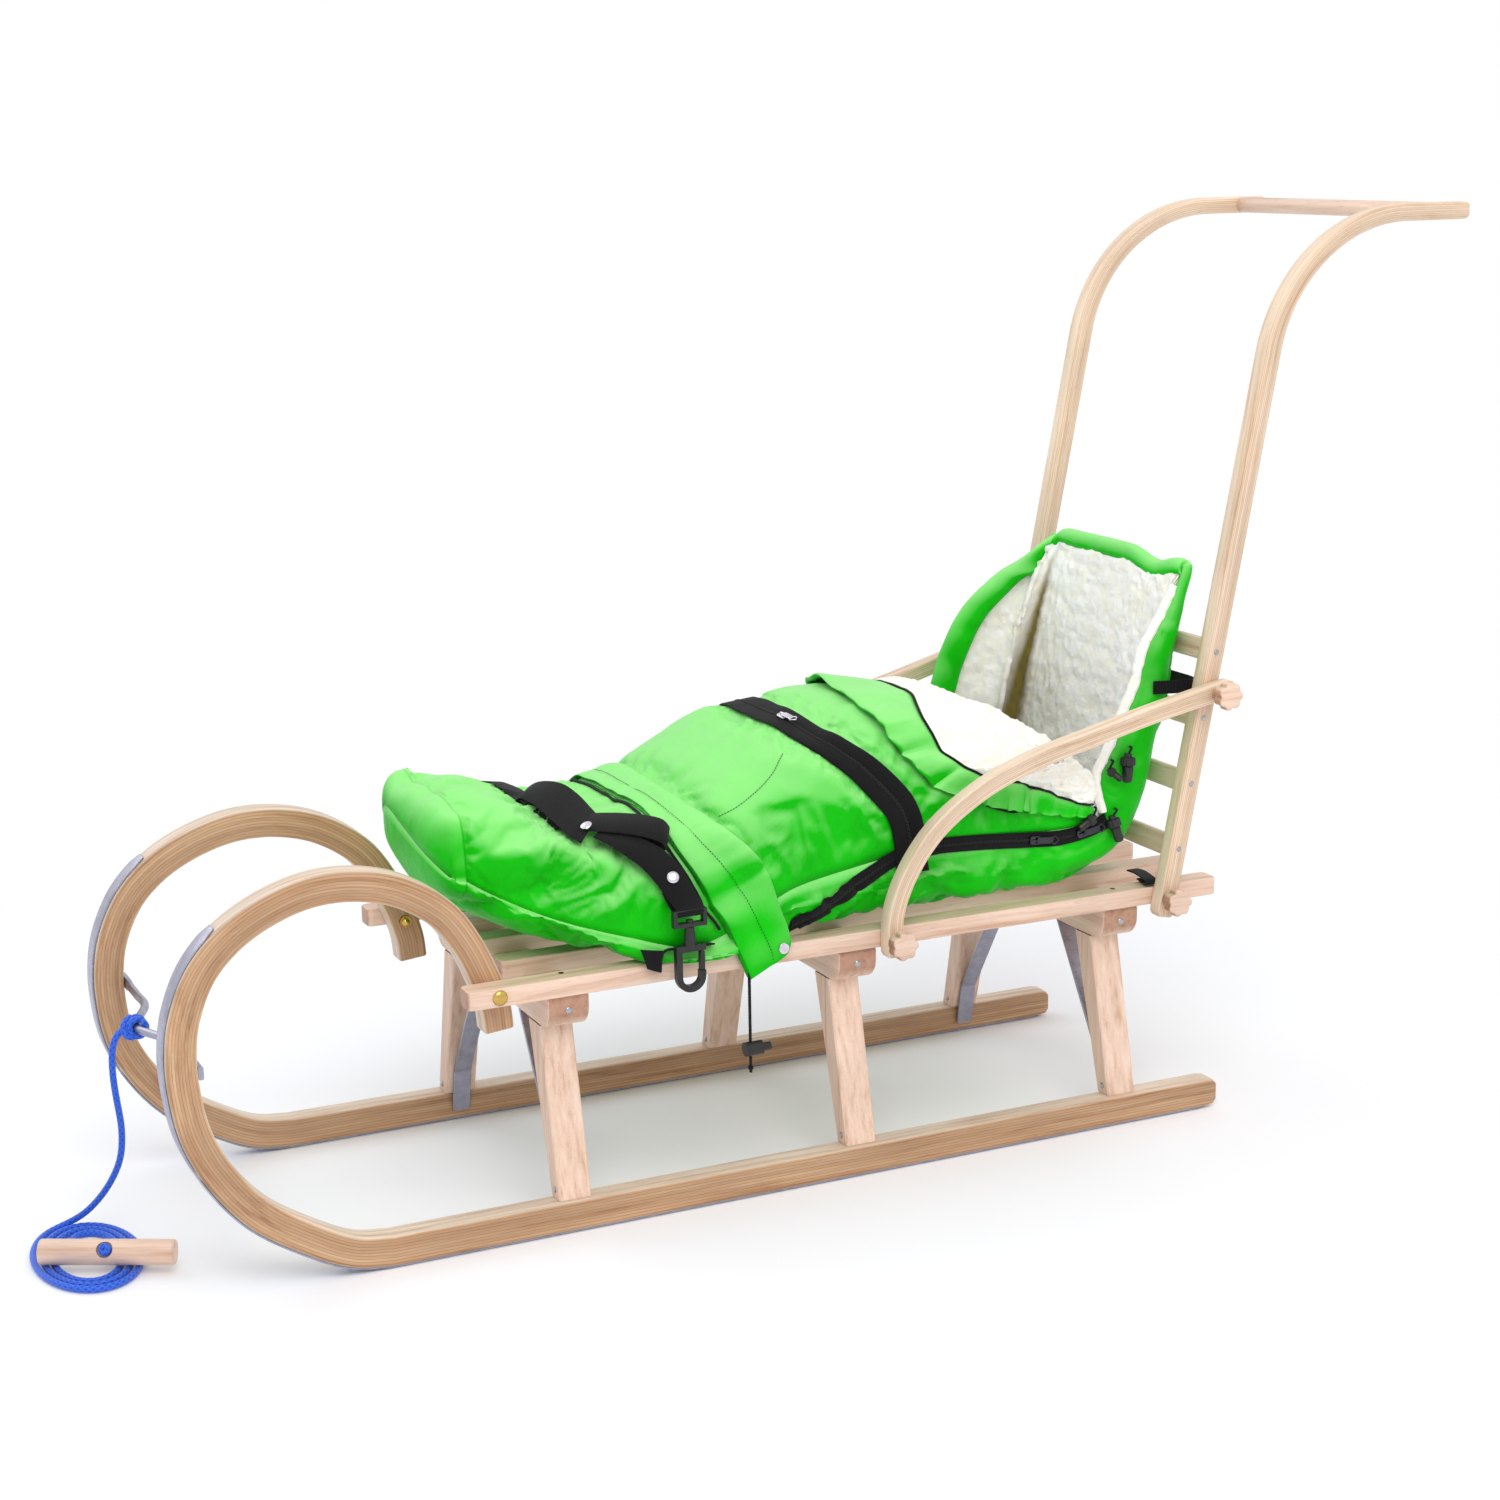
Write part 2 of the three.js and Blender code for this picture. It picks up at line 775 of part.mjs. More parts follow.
function hornBoltSolid() {
  const head = hornBolt.to + fitGap;
  const nut = hornBolt.from - fitGap;
  return latheX([
    [nut - nutHeight, 0],
    [nut - nutHeight * 0.85, nutRadius * 0.5],
    [nut - nutHeight * 0.5, nutRadius * 0.85],
    [nut - nutHeight * 0.4, nutRadius],
    [nut, nutRadius],
    [nut, boltRadius],
    [head, boltRadius],
    [head, boltHeadRadius],
    [head + boltHeadHeight * 0.45, boltHeadRadius * 0.88],
    [head + boltHeadHeight * 0.86, boltHeadRadius * 0.5],
    [head + boltHeadHeight, 0],
  ], 12, hornBolt.y, hornBolt.z);
}

// Tow bar: flat ends behind both horns, and a rod kinked forwards in the middle

const towRoot = hornAt(towBarHeight, false);
const towY = towRoot.y + runnerThickness / 2 + fitGap + towBarTabThickness / 2 + fitGap;

function towBarSolid() {
  const reach = towRoot.x + towBarEndReach;
  const tabEnd = towRoot.x - runnerWidth / 2;
  const rod = towBarRod / 2;
  const tab = [towBarTabWidth / 2, towBarTabThickness / 2];
  const side = [
    [reach, 0, ...tab], [tabEnd, 0, ...tab], [towBarKinkHalf, 0, rod, rod],
  ];
  const middle = [towBarRod, -towBarKink, rod, rod];
  const left = [...side, middle];
  const right = [...left].reverse().map(([x, ...others]) => [-x, ...others]);
  const stations = [...left, ...right];
  const last = stations.length - 1;
  const up = new THREE.Vector3(0, 0, 1);
  const rings = stations.map(([x, y, halfHeight, halfThickness], i) => {
    const [x0, y0] = stations[Math.max(i - 1, 0)];
    const [x1, y1] = stations[Math.min(i + 1, last)];
    const along = new THREE.Vector3(x1 - x0, y1 - y0, 0).normalize();
    const across = new THREE.Vector3(-along.y, along.x, 0);
    return section(
      new THREE.Vector3(x, towY + y, towBarHeight),
      up,
      across,
      halfHeight,
      halfThickness,
      halfThickness * 0.58,
    );
  });
  return ringSolid(rings);
}

// Footmuff

const muffBase = seatHeight + muffSeatGap;
const muffRear = muffLength - muffFront;
const muffYs = muffShares.map(([along]) => -muffFront + muffLength * along);

// Front face of the backrest at a height, less a clearance
const backFaceAt = (height) =>
  postYAt(height) - (backSlatThickness / 2 + fitGap) / Math.cos(leanAngle);

function muffSection(y) {
  const share = (y + muffFront) / muffLength;
  const row = Math.max(muffShares.findIndex(([along]) => along >= share), 1);
  const after = muffShares[row];
  const before = muffShares[row - 1];
  const part = (share - before[0]) / (after[0] - before[0]);
  const mix = (column) => before[column] + (after[column] - before[column]) * part;
  return { half: muffHalfWidth * mix(1), top: muffHeight * mix(2), full: mix(3) };
}

// A rounded cross section of the footmuff, drawn in by an inset
function muffRing(y, inset) {
  const { half, top, full } = muffSection(y);
  const ring = [];
  for (let i = 0; i < muffSides; i += 1) {
    const angle = (i / muffSides) * Math.PI * 2;
    const c = Math.cos(angle);
    const s = Math.sin(angle);
    ring.push(new THREE.Vector3(
      (half - inset) * Math.sign(c) * Math.abs(c) ** (2 / full),
      y,
      muffBase + top / 2 + (top / 2 - inset) * Math.sign(s) * Math.abs(s) ** (2 / full),
    ));
  }
  return ring;
}

function muffLoft(inset, from, to) {
  const stops = muffYs.filter((y) => y > from + overrun && y < to - overrun);
  return ringSolid([from, ...stops, to].map((y) => muffRing(y, inset)));
}

// Everything behind the plane of the backrest, drawn forwards by an inset
function behindBack(inset) {
  const block = new THREE.BoxGeometry(muffLength, muffLength, muffLength * 2);
  block.translate(0, muffLength / 2, 0);
  block.rotateX(-leanAngle);
  block.translate(0, backFaceAt(seatHeight) - inset / Math.cos(leanAngle), seatHeight);
  return block;
}

// The room of the open hood: upright walls above the fullest height
function wellSolid(inset, from, lift) {
  const stops = muffYs.filter((y) => y > from + overrun && y < muffRear - overrun);
  const rings = [from, ...stops, muffRear].map((y) => {
    const { half, top } = muffSection(y);
    const wide = half - inset;
    const middle = muffBase + top / 2;
    const high = muffBase + top * rimShare + lift;
    return [[wide, middle], [wide, high], [-wide, high], [-wide, middle]]
      .map(([x, z]) => new THREE.Vector3(x, y, z));
  });
  return ringSolid(rings);
}

function muffRoom(inset, front) {
  const tunnel = muffLoft(inset, front, muffRear);
  return cut(join(tunnel, wellSolid(inset, -coverRear, muffHeight)), behindBack(inset));
}

function muffShellSolid() {
  const body = cut(muffLoft(0, -muffFront, muffRear), behindBack(0));
  return cut(body, muffRoom(muffWall, muffWall - muffFront));
}

// A slab between two grids of points with the same rows and columns
function slabSolid(low, high) {
  const rows = low.length;
  const columns = low[0].length;
  const position = [];
  const index = [];
  [low, high].forEach((grid) => grid.forEach((row) => row.forEach((p) => {
    position.push(p.x, p.y, p.z);
  })));
  const at = (layer, i, j) => (layer * rows + i) * columns + j;
  const quad = (a, b, c, d) => index.push(a, b, c, a, c, d);
  for (let i = 0; i + 1 < rows; i += 1) {
    for (let j = 0; j + 1 < columns; j += 1) {
      quad(at(0, i, j), at(0, i, j + 1), at(0, i + 1, j + 1), at(0, i + 1, j));
      quad(at(1, i, j), at(1, i + 1, j), at(1, i + 1, j + 1), at(1, i, j + 1));
    }
    const j = columns - 1;
    quad(at(0, i, 0), at(0, i + 1, 0), at(1, i + 1, 0), at(1, i, 0));
    quad(at(0, i, j), at(1, i, j), at(1, i + 1, j), at(0, i + 1, j));
  }
  for (let j = 0; j + 1 < columns; j += 1) {
    const i = rows - 1;
    quad(at(0, 0, j), at(1, 0, j), at(1, 0, j + 1), at(0, 0, j + 1));
    quad(at(0, i, j), at(0, i, j + 1), at(1, i, j + 1), at(1, i, j));
  }
  const geometry = new THREE.BufferGeometry();
  geometry.setAttribute('position', new THREE.Float32BufferAttribute(position, 3));
  geometry.setIndex(index);
  return outward(geometry);
}

// The cover's folded-back end, and the lip that carries it down to the lining
function flapSolid() {
  const front = -coverRear - flapLength;
  const lipFront = -coverRear + fitGap;
  const lipRear = lipFront + liningThickness;
  const stops = muffYs.filter((y) => y > front + overrun && y < -coverRear - overrun);
  const grid = (lift, lipLift) => {
    const ys = [front, ...stops, -coverRear, lipFront, lipRear];
    const rings = ys.map((y, i) => muffRing(y, -(i < ys.length - 2 ? lift : lipLift)));
    const half = muffSides / 2;
    const picked = [];
    for (let i = flapEdgeSteps; i <= half - flapEdgeSteps; i += 1) {
      picked.push(rings.map((ring) => ring[i]));
    }
    return picked;
  };
  return slabSolid(
    grid(flapLift, -muffWall - liningThickness),
    grid(flapLift + flapThickness, flapLift + flapThickness),
  );
}

// Fleece in the hood, standing a little above the rim
function liningSolid() {
  const outer = muffWall + fitGap;
  const inner = outer + liningThickness;
  const front = -coverRear - flapLength / 2;
  const tunnel = muffLoft(outer, front, muffRear);
  const body = cut(join(tunnel, wellSolid(outer, -coverRear, liningLift)), behindBack(outer));
  const room = muffRoom(inner, front - overrun);
  return join(cut(body, room), flapSolid());
}

// Rows of points over the footmuff, from the right side over the top to the left
function overMuff(lift, frontAt, rearAt) {
  const half = muffSides / 2;
  const rows = [];
  for (let i = half; i >= 0; i -= 1) {
    const share = 1 - i / half;
    const front = frontAt(share);
    const rear = rearAt(share);
    rows.push([front, (front + rear) / 2, rear].map((y) => muffRing(y, -lift)[i]));
  }
  return rows;
}

// The cuff: a band round the cover, its left end hanging over the seat's edge
const cuffTipFront = -cuffFront + cuffSweep + cuffTipSweep;
const cuffTipZ = seatHeight - cuffTipDrop;

function cuffSolid() {
  const grid = (lift) => {
    const rows = overMuff(
      lift,
      (share) => -cuffFront + cuffSweep * Math.max(share * 2 - 1, 0) ** 1.5,
      () => -cuffRear,
    );
    const x = cuffReach + lift;
    const hem = [
      { front: -cuffFront + cuffSweep, z: seatHeight + slatThickness, rise: 0 },
      { front: cuffTipFront, z: cuffTipZ, rise: cuffTipRise },
    ];
    hem.forEach(({ front, z, rise }) => rows.push([
      new THREE.Vector3(x, front, z),
      new THREE.Vector3(x, (front - cuffRear) / 2, z + rise / 2),
      new THREE.Vector3(x, -cuffRear, z + rise),
    ]));
    return rows;
  };
  return slabSolid(grid(fitGap * 4), grid(fitGap * 4 + cuffThickness));
}

// Webbing across the foot end, running slantwise to the hook
function strapSolid() {
  const hookFront = -hookSetback - strapWidth / 2;
  const grid = (lift) => {
    const frontAt = (share) =>
      -strapSetback - strapWidth / 2 + (strapSetback - hookSetback) * Math.min(share * 1.08, 1);
    const rows = overMuff(lift, frontAt, (share) => frontAt(share) + strapWidth);
    rows.pop();
    const x = hookReach + lift - strapLift - strapThickness / 2;
    rows.push([0, strapWidth / 2, strapWidth].map((across) =>
      new THREE.Vector3(x, hookFront + across, hookHang + fitGap)));
    return rows;
  };
  return slabSolid(grid(strapLift), grid(strapLift + strapThickness));
}

// Snap hook: an eye for the strap, and an open bow that swivels below it
const hookX = hookReach;
const hookBowTop = hookHang - hookLoopHeight - hookNeckLength;
const bowHalf = hookBowWidth / 2;
const bowInner = bowHalf - hookBowWall;
const bowCentreZ = hookBowTop - hookBowHeight + bowHalf;
const gateY = bowHalf - hookBowWall / 2;
const gatePivotZ = hookBowTop - hookBowWall - fitGap - gateWidth / 2;
const noseZ = bowCentreZ + hookNoseLength;

// A flat plate that faces sideways, from an outline in Y and Z about the hook's middle
function sidePlate(outline, thickness) {
  const plate = new THREE.ExtrudeGeometry(outline, {
    depth: thickness, bevelEnabled: false, curveSegments: 6,
  });
  plate.rotateX(Math.PI / 2);
  plate.rotateZ(Math.PI / 2);
  plate.translate(hookX - thickness / 2, -hookSetback, 0);
  return bare(plate);
}

const upright = new THREE.Vector3(0, 1, 0);

function placed(geometry, direction, place) {
  geometry.applyQuaternion(new THREE.Quaternion().setFromUnitVectors(upright, direction));
  geometry.translate(place.x, place.y, place.z);
  return geometry;
}

// A round pin on the swivel's axis
function swivelPin(radius, from, to, sides = 12, topRadius = radius) {
  return placed(
    new THREE.CylinderGeometry(topRadius, radius, to - from, sides),
    new THREE.Vector3(0, 0, 1),
    new THREE.Vector3(hookX, -hookSetback, (from + to) / 2),
  );
}

function eyeSolid() {
  const loop = new THREE.Shape();
  const half = hookLoopWidth / 2;
  const base = hookHang - hookLoopHeight;
  loop.moveTo(-half, base);
  loop.lineTo(half, base);
  loop.lineTo(half, hookHang);
  loop.lineTo(-half, hookHang);
  const slot = new THREE.Path();
  const slotHalf = half - hookLoopWall;
  slot.moveTo(-slotHalf, base + hookLoopWall);
  slot.lineTo(-slotHalf, hookHang - hookLoopWall);
  slot.lineTo(slotHalf, hookHang - hookLoopWall);
  slot.lineTo(slotHalf, base + hookLoopWall);
  loop.holes.push(slot);
  const pinHole = swivelPin(hookPinRadius + fitGap, base - overrun, base + hookLoopWall + fitGap);
  return cut(sidePlate(loop, hookThickness), pinHole);
}

function hookSolid() {
  const bow = new THREE.Shape();
  bow.moveTo(bowHalf, noseZ);
  bow.lineTo(bowInner, noseZ);
  bow.lineTo(bowInner, bowCentreZ);
  bow.absarc(0, bowCentreZ, bowInner, 0, -Math.PI, true);
  bow.lineTo(-bowInner, hookBowTop - hookBowWall);
  bow.lineTo(bowHalf, hookBowTop - hookBowWall);
  bow.lineTo(bowHalf, hookBowTop);
  bow.lineTo(-bowHalf, hookBowTop);
  bow.lineTo(-bowHalf, bowCentreZ);
  bow.absarc(0, bowCentreZ, bowHalf, -Math.PI, 0, false);
  const neckEnd = hookBowTop - hookBowWall / 2;
  const neckTop = hookHang - hookLoopHeight - fitGap;
  const headBase = neckTop + hookLoopWall + fitGap * 2;
  return join(
    sidePlate(bow, hookThickness),
    swivelPin(hookNeckRadius, neckEnd, neckTop, 12, hookNeckRadius * 0.7),
    swivelPin(hookPinRadius, neckEnd, headBase + hookPinHead / 2),
    swivelPin(hookPinHeadRadius, headBase, headBase + hookPinHead),
  );
}

function gateSolid() {
  const half = gateWidth / 2;
  const gate = new THREE.Shape();
  gate.moveTo(gateY - half, noseZ + fitGap * 2);
  gate.lineTo(gateY + half, noseZ + fitGap * 2);
  gate.lineTo(gateY + half, gatePivotZ);
  gate.absarc(gateY, gatePivotZ, half, 0, Math.PI, false);
  return sidePlate(gate, gateThickness);
}

// Drawcord below the cuff's tip, with a cord lock and its sprung button
const drawcordY = cuffTipFront + drawcordDiameter;
const drawcordX = cuffReach + fitGap * 4 + cuffThickness / 2;
const drawcordTop = cuffTipZ - fitGap;
const lockZ = drawcordTop - drawcordLength;
const lockFront = drawcordY - lockBoreSetback;
const lockRear = lockFront + lockLength;

function cordSolid(points, diameter, sides, steps) {
  const outline = new THREE.Shape();
  for (let i = 0; i < sides; i += 1) {
    const angle = (i / sides) * Math.PI * 2;
    const place = [Math.cos(angle) * diameter / 2, Math.sin(angle) * diameter / 2];
    if (i === 0) outline.moveTo(...place);
    else outline.lineTo(...place);
  }
  const path = new THREE.CatmullRomCurve3(points, false, 'centripetal');
  return bare(new THREE.ExtrudeGeometry(outline, { steps, extrudePath: path }));
}

function drawcordSolid() {
  const end = lockZ - drawcordTail;
  const points = [drawcordTop, (drawcordTop + end) / 2, end]
    .map((z) => new THREE.Vector3(drawcordX, drawcordY, z));
  return cordSolid(points, drawcordDiameter, 8, 6);
}

function alongY(radius, from, to, sides) {
  const rod = new THREE.CylinderGeometry(radius, radius, to - from, sides);
  rod.translate(drawcordX, (from + to) / 2, lockZ);
  return rod;
}

function cordLockSolid() {
  const body = alongY(lockRadius, lockFront, lockRear, 16);
  const socket = alongY(
    buttonRadius + fitGap, lockRear - buttonStem - buttonTravel - fitGap, lockRear + overrun, 12);
  const eye = new THREE.CylinderGeometry(
    drawcordDiameter / 2 + fitGap, drawcordDiameter / 2 + fitGap, lockRadius * 4, 12);
  eye.rotateX(Math.PI / 2);
  eye.translate(drawcordX, drawcordY, lockZ);
  return cut(body, socket, eye);
}

const lockButtonSolid = () =>
  bare(alongY(buttonRadius, lockRear - buttonStem, lockRear + buttonReach, 12));

// Pull rope: knotted round the tow bar, down to a coil on the ground

const ropeRadius = ropeDiameter / 2;
const towApex = new THREE.Vector3(0, towY - towBarKink, towBarHeight);
const knotRadius = towBarRod / 2 / Math.cos(Math.PI / 8) + fitGap + ropeRadius;

function ropeKnotSolid() {
  const ring = new THREE.TorusGeometry(knotRadius, ropeRadius, 8, 16);
  ring.rotateY(Math.PI / 2);
  ring.translate(towApex.x, towApex.y, towApex.z);
  return bare(ring);
}

function coilPoint(turn) {
  const angle = THREE.MathUtils.degToRad(coilStart - 360 * turn);
  const drawn = ropeRadius + coilPitch * turn;
  return coilCentre.clone()
    .addScaledVector(coilSideAxis, (coilSide - drawn) * Math.cos(angle))
    .addScaledVector(coilLongAxis, (coilLong - drawn) * Math.sin(angle))
    .setZ(ropeRadius);
}
const coilSteps = 24;
const coilSweep = coilTurns - (coilEnd - coilStart) / 360;
const coilHeading = coilPoint(1 / coilSteps / 4).sub(coilPoint(0)).normalize();

function pullRopeSolid() {
  const first = towApex.clone();
  first.y -= knotRadius + ropeRadius + fitGap;
  const second = first.clone();
  second.y -= ropeRadius;
  const end = coilPoint(0).addScaledVector(coilHeading, -fitGap * 2);
  const straight = end.clone().addScaledVector(coilHeading, -ropeDiameter);
  const route = ropeRoute.map((place) => new THREE.Vector3(...place));
  return cordSolid([first, second, ...route, straight, end], ropeDiameter, 8, 30);
}

// Toggle: a turned handle with a cross hole that is sunk at the front
const toggleRadius = toggleDiameter / 2;
const toggleMiddle = toggleCentre.clone().setZ(ropeDiameter + toggleRadius + fitGap);
const toggleAngle = THREE.MathUtils.degToRad(toggleTurn);
const tiltAngle = THREE.MathUtils.degToRad(toggleTilt);
const toggleAxis = new THREE.Vector3(Math.cos(toggleAngle), Math.sin(toggleAngle), 0);
const toggleHole = new THREE.Vector3(
  Math.sin(toggleAngle) * Math.cos(tiltAngle),
  -Math.cos(toggleAngle) * Math.cos(tiltAngle),
  Math.sin(tiltAngle),
);
const sinkFloor = toggleRadius - toggleSinkDepth;

function toggleSolid() {
  const half = toggleLength / 2;
  const profile = [
    [0, -half], [toggleRadius - toggleEdge, -half], [toggleRadius, toggleEdge - half],
    [toggleRadius, half - toggleEdge], [toggleRadius - toggleEdge, half], [0, half],
  ].map(([r, along]) => new THREE.Vector2(r, along));
  const handle = placed(new THREE.LatheGeometry(profile, 18), toggleAxis, toggleMiddle);
  const hole = new THREE.CylinderGeometry(toggleBore / 2, toggleBore / 2, toggleDiameter * 2, 16);
  const sink = new THREE.CylinderGeometry(
    toggleSinkRadius, toggleSinkRadius, toggleSinkDepth + overrun, 20);
  const sinkAt = toggleMiddle.clone()
    .addScaledVector(toggleHole, sinkFloor + (toggleSinkDepth + overrun) / 2);
  return cut(
    handle,
    placed(hole, toggleHole, toggleMiddle),
    placed(sink, toggleHole, sinkAt),
  );
}

// The coil's tube: loops by formula, then the inner end up through the toggle
function coilLine() {
  const loops = [];
  const steps = Math.round(coilSweep * coilSteps);
  for (let i = 0; i <= steps; i += 1) loops.push(coilPoint((coilSweep * i) / steps));
  const mouth = toggleMiddle.clone().addScaledVector(toggleHole, -toggleRadius - ropeDiameter);
  const end = toggleMiddle.clone().addScaledVector(toggleHole, sinkFloor);
  const tail = new THREE.CatmullRomCurve3([
    loops[loops.length - 2],
    loops[loops.length - 1],
    ...coilTail.map((place) => new THREE.Vector3(...place)),
    mouth,
    toggleMiddle.clone().addScaledVector(toggleHole, -toggleRadius),
  ], false, 'centripetal');
  const bend = tail.getSpacedPoints(coilSteps).filter((point, i) => i > 2);
  return [...loops, ...bend, end];
}

// The stopper knot at the rope's end, in the sunk hole
function knotRows() {
  const base = sinkFloor + fitGap;
  return toggleKnotShares.map(([along, round]) => ({
    at: toggleMiddle.clone().addScaledVector(toggleHole, base + toggleKnotDepth * along),
    radius: toggleKnotRadius * round,
  }));
}

function ropeCoilSolid() {
  const knot = knotRows();
  const line = [...coilLine(), ...knot.map((row) => row.at)];
  const radii = [...coilLine().map(() => ropeRadius), ...knot.map((row) => row.radius)];
  const up = new THREE.Vector3(0, 0, 1);
  let across = null;
  const rings = line.map((point, i) => {
    const ahead = line[Math.min(i + 1, line.length - 1)];
    const behind = line[Math.max(i - 1, 0)];
    const along = ahead.clone().sub(behind).normalize();
    across = across ?? new THREE.Vector3().crossVectors(along, up);
    across.addScaledVector(along, -across.dot(along)).normalize();
    const lift = new THREE.Vector3().crossVectors(across, along);
    const ring = [];
    for (let j = 0; j < 6; j += 1) {
      const angle = (j / 6) * Math.PI * 2;
      ring.push(point.clone()
        .addScaledVector(across, radii[i] * Math.cos(angle))
        .addScaledVector(lift, radii[i] * Math.sin(angle)));
    }
    return ring;
  });
  return ringSolid(rings);
}

// Least gap of the coil's tube to itself, on fine points along its line
function coilGap() {
  const fine = new THREE.CatmullRomCurve3(coilLine(), false, 'centripetal').getSpacedPoints(900);
  const step = fine[0].distanceTo(fine[1]);
  const skip = Math.ceil((ropeDiameter * 3) / step);
  let least = Infinity;
  for (let i = 0; i < fine.length; i += 1) {
    for (let j = i + skip; j < fine.length; j += 1) {
      least = Math.min(least, fine[i].distanceTo(fine[j]));
    }
  }
  return least - ropeDiameter;
}
console.log(`rope coil: least gap to itself ${coilGap().toFixed(2)} mm`);

// Assembly

const mirrored = (geometry) => outward(geometry.clone().scale(-1, 1, 1));
const sled = new THREE.Group();
const pieces = new THREE.Group();
pieces.position.y = originShift;
sled.add(pieces);

function add(name, geometry, material) {
  const mesh = new THREE.Mesh(geometry, materials[material]);
  mesh.name = name;
  pieces.add(mesh);
}

function addPair(name, geometry, material) {
  add(`${name}_left`, geometry, material);
  add(`${name}_right`, mirrored(geometry), material);
}

addPair('runner', cut(runnerSolid(), bore(hornBolt)), 'laminate');
addPair('runner_shoe', shoeSolid(), 'steel');
['rear', 'middle', 'front'].forEach((place, row) => {
  addPair(`leg_${place}`, legSolid(row), 'beech');
  add(`crossbeam_${place}`, beamSolid(row), 'beech');
});
addPair('brace_rear', braceSolid(0), 'steel');
addPair('brace_front', braceSolid(frontRow), 'steel');

const outerSlat = cut(
  slatSolid(outerSlatX, hornBoltAt.y - hornBoltMargin, slatRearReach),
  bore(hornBolt),
  bore(fastenings.post_lower),
  bore(fastenings.arm_front),
);
addPair('seat_slat_outer', outerSlat, 'beech');
const innerFront = legCentre(frontRow) - innerSlatFrontReach;
addPair('seat_slat_inner', slatSolid(slatPitch, innerFront, slatRearReach), 'beech');
add('seat_slat_middle', slatSolid(0, innerFront, slatRearReach), 'beech');
addPair('horn_bolt', hornBoltSolid(), 'brass');
add('tow_bar', towBarSolid(), 'steel');

const postHole = crosswise(
  postHoleRadius, postInner - overrun, postOuter + overrun,
  postYAt(postHoleHeight), postHoleHeight, 12);
const post = cut(
  postSolid(), bore(fastenings.post_lower), bore(fastenings.arm_rear), postHole);
addPair('handle_post', post, 'laminate');
add('handle_dowel', dowelSolid(), 'beech');
['lowest', 'lower', 'upper', 'top'].forEach((place, row) => {
  add(`back_slat_${place}`, backSlatSolid(row), 'beech');
});
const armrest = cut(armrestSolid(), bore(fastenings.arm_front), bore(fastenings.arm_rear));
addPair('armrest', armrest, 'laminate');
Object.entries(fastenings).forEach(([place, fastening]) => {
  addPair(`knob_${place}`, knobSolid(fastening), 'knob');
  addPair(`bolt_${place}`, boltSolid(fastening), 'steel');
});

add('footmuff_shell', muffShellSolid(), 'green');
add('footmuff_lining', liningSolid(), 'fleece');
add('cuff_band', cuffSolid(), 'green');
add('foot_strap', strapSolid(), 'black');
add('snap_eye', eyeSolid(), 'black');
add('snap_hook', hookSolid(), 'black');
add('snap_gate', gateSolid(), 'black');
add('drawcord', drawcordSolid(), 'black');
add('cord_lock', cordLockSolid(), 'black');
add('cord_lock_button', lockButtonSolid(), 'black');

add('rope_knot', ropeKnotSolid(), 'rope');
add('pull_rope', pullRopeSolid(), 'rope');
add('rope_coil', ropeCoilSolid(), 'rope');
add('toggle_handle', toggleSolid(), 'knob');

export default sled;
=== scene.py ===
# Wooden pull sled with a padded footmuff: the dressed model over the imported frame.
import math

import bpy
import numpy as np
from mathutils import Matrix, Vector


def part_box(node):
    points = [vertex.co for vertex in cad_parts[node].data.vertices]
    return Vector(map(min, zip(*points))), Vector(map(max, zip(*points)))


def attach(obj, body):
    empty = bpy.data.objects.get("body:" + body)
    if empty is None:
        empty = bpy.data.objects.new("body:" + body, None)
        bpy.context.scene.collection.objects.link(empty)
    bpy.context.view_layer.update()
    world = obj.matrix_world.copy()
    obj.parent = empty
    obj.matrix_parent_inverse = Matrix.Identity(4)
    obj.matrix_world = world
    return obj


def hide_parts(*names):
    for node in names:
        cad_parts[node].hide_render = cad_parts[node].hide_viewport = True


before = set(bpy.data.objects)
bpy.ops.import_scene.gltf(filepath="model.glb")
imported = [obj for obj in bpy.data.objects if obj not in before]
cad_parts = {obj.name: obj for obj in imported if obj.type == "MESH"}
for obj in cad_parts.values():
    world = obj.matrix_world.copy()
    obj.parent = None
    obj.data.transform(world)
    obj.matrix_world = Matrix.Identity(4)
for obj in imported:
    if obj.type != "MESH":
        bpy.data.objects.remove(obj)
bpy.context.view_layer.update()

rearToOrigin = 407.826  # mm from the runners' rear ends forwards to the origin


def place(points):
    # Millimetres measured from the runners' rear ends, turned into metres of the frame.
    return (np.asarray(points, float) + [0, rearToOrigin, 0]) / 1000


# Camera and light

view = {"at": (2.39991, -1.16697, 1.01265), "turn": 64.939, "dip": 13.001, "roll": -0.945, "lens": 64.4055}


def makeCamera():
    turn, dip, roll = (math.radians(view[key]) for key in ("turn", "dip", "roll"))
    ahead = np.array([-math.sin(turn) * math.cos(dip), math.cos(turn) * math.cos(dip), -math.sin(dip)])
    right = np.cross(ahead, (0, 0, 1))
    right /= np.linalg.norm(right)
    up = np.cross(right, ahead)
    across = right * math.cos(roll) + up * math.sin(roll)
    upright = up * math.cos(roll) - right * math.sin(roll)
    camera = bpy.data.objects.new("camera", bpy.data.cameras.new("camera"))
    bpy.context.scene.collection.objects.link(camera)
    matrix = np.eye(4)
    matrix[:3, 0], matrix[:3, 1], matrix[:3, 2], matrix[:3, 3] = across, upright, -ahead, view["at"]
    camera.matrix_world = Matrix(matrix.tolist())
    camera.data.sensor_width = 36
    camera.data.sensor_fit = "HORIZONTAL"
    camera.data.lens = view["lens"]
    camera.data.clip_end = 60
    bpy.context.scene.camera = camera


makeCamera()
print("camera set")


def feed(tree, made, inputs):
    # Gives each named input a socket to link or a plain value; i0, i1 name inputs by number.
    for key, value in inputs.items():
        socket = made.inputs[int(key[1:])] if key[1:].isdigit() else made.inputs[key.replace("_", " ")]
        if isinstance(value, bpy.types.NodeSocket):
            tree.links.new(value, socket)
        else:
            socket.default_value = value


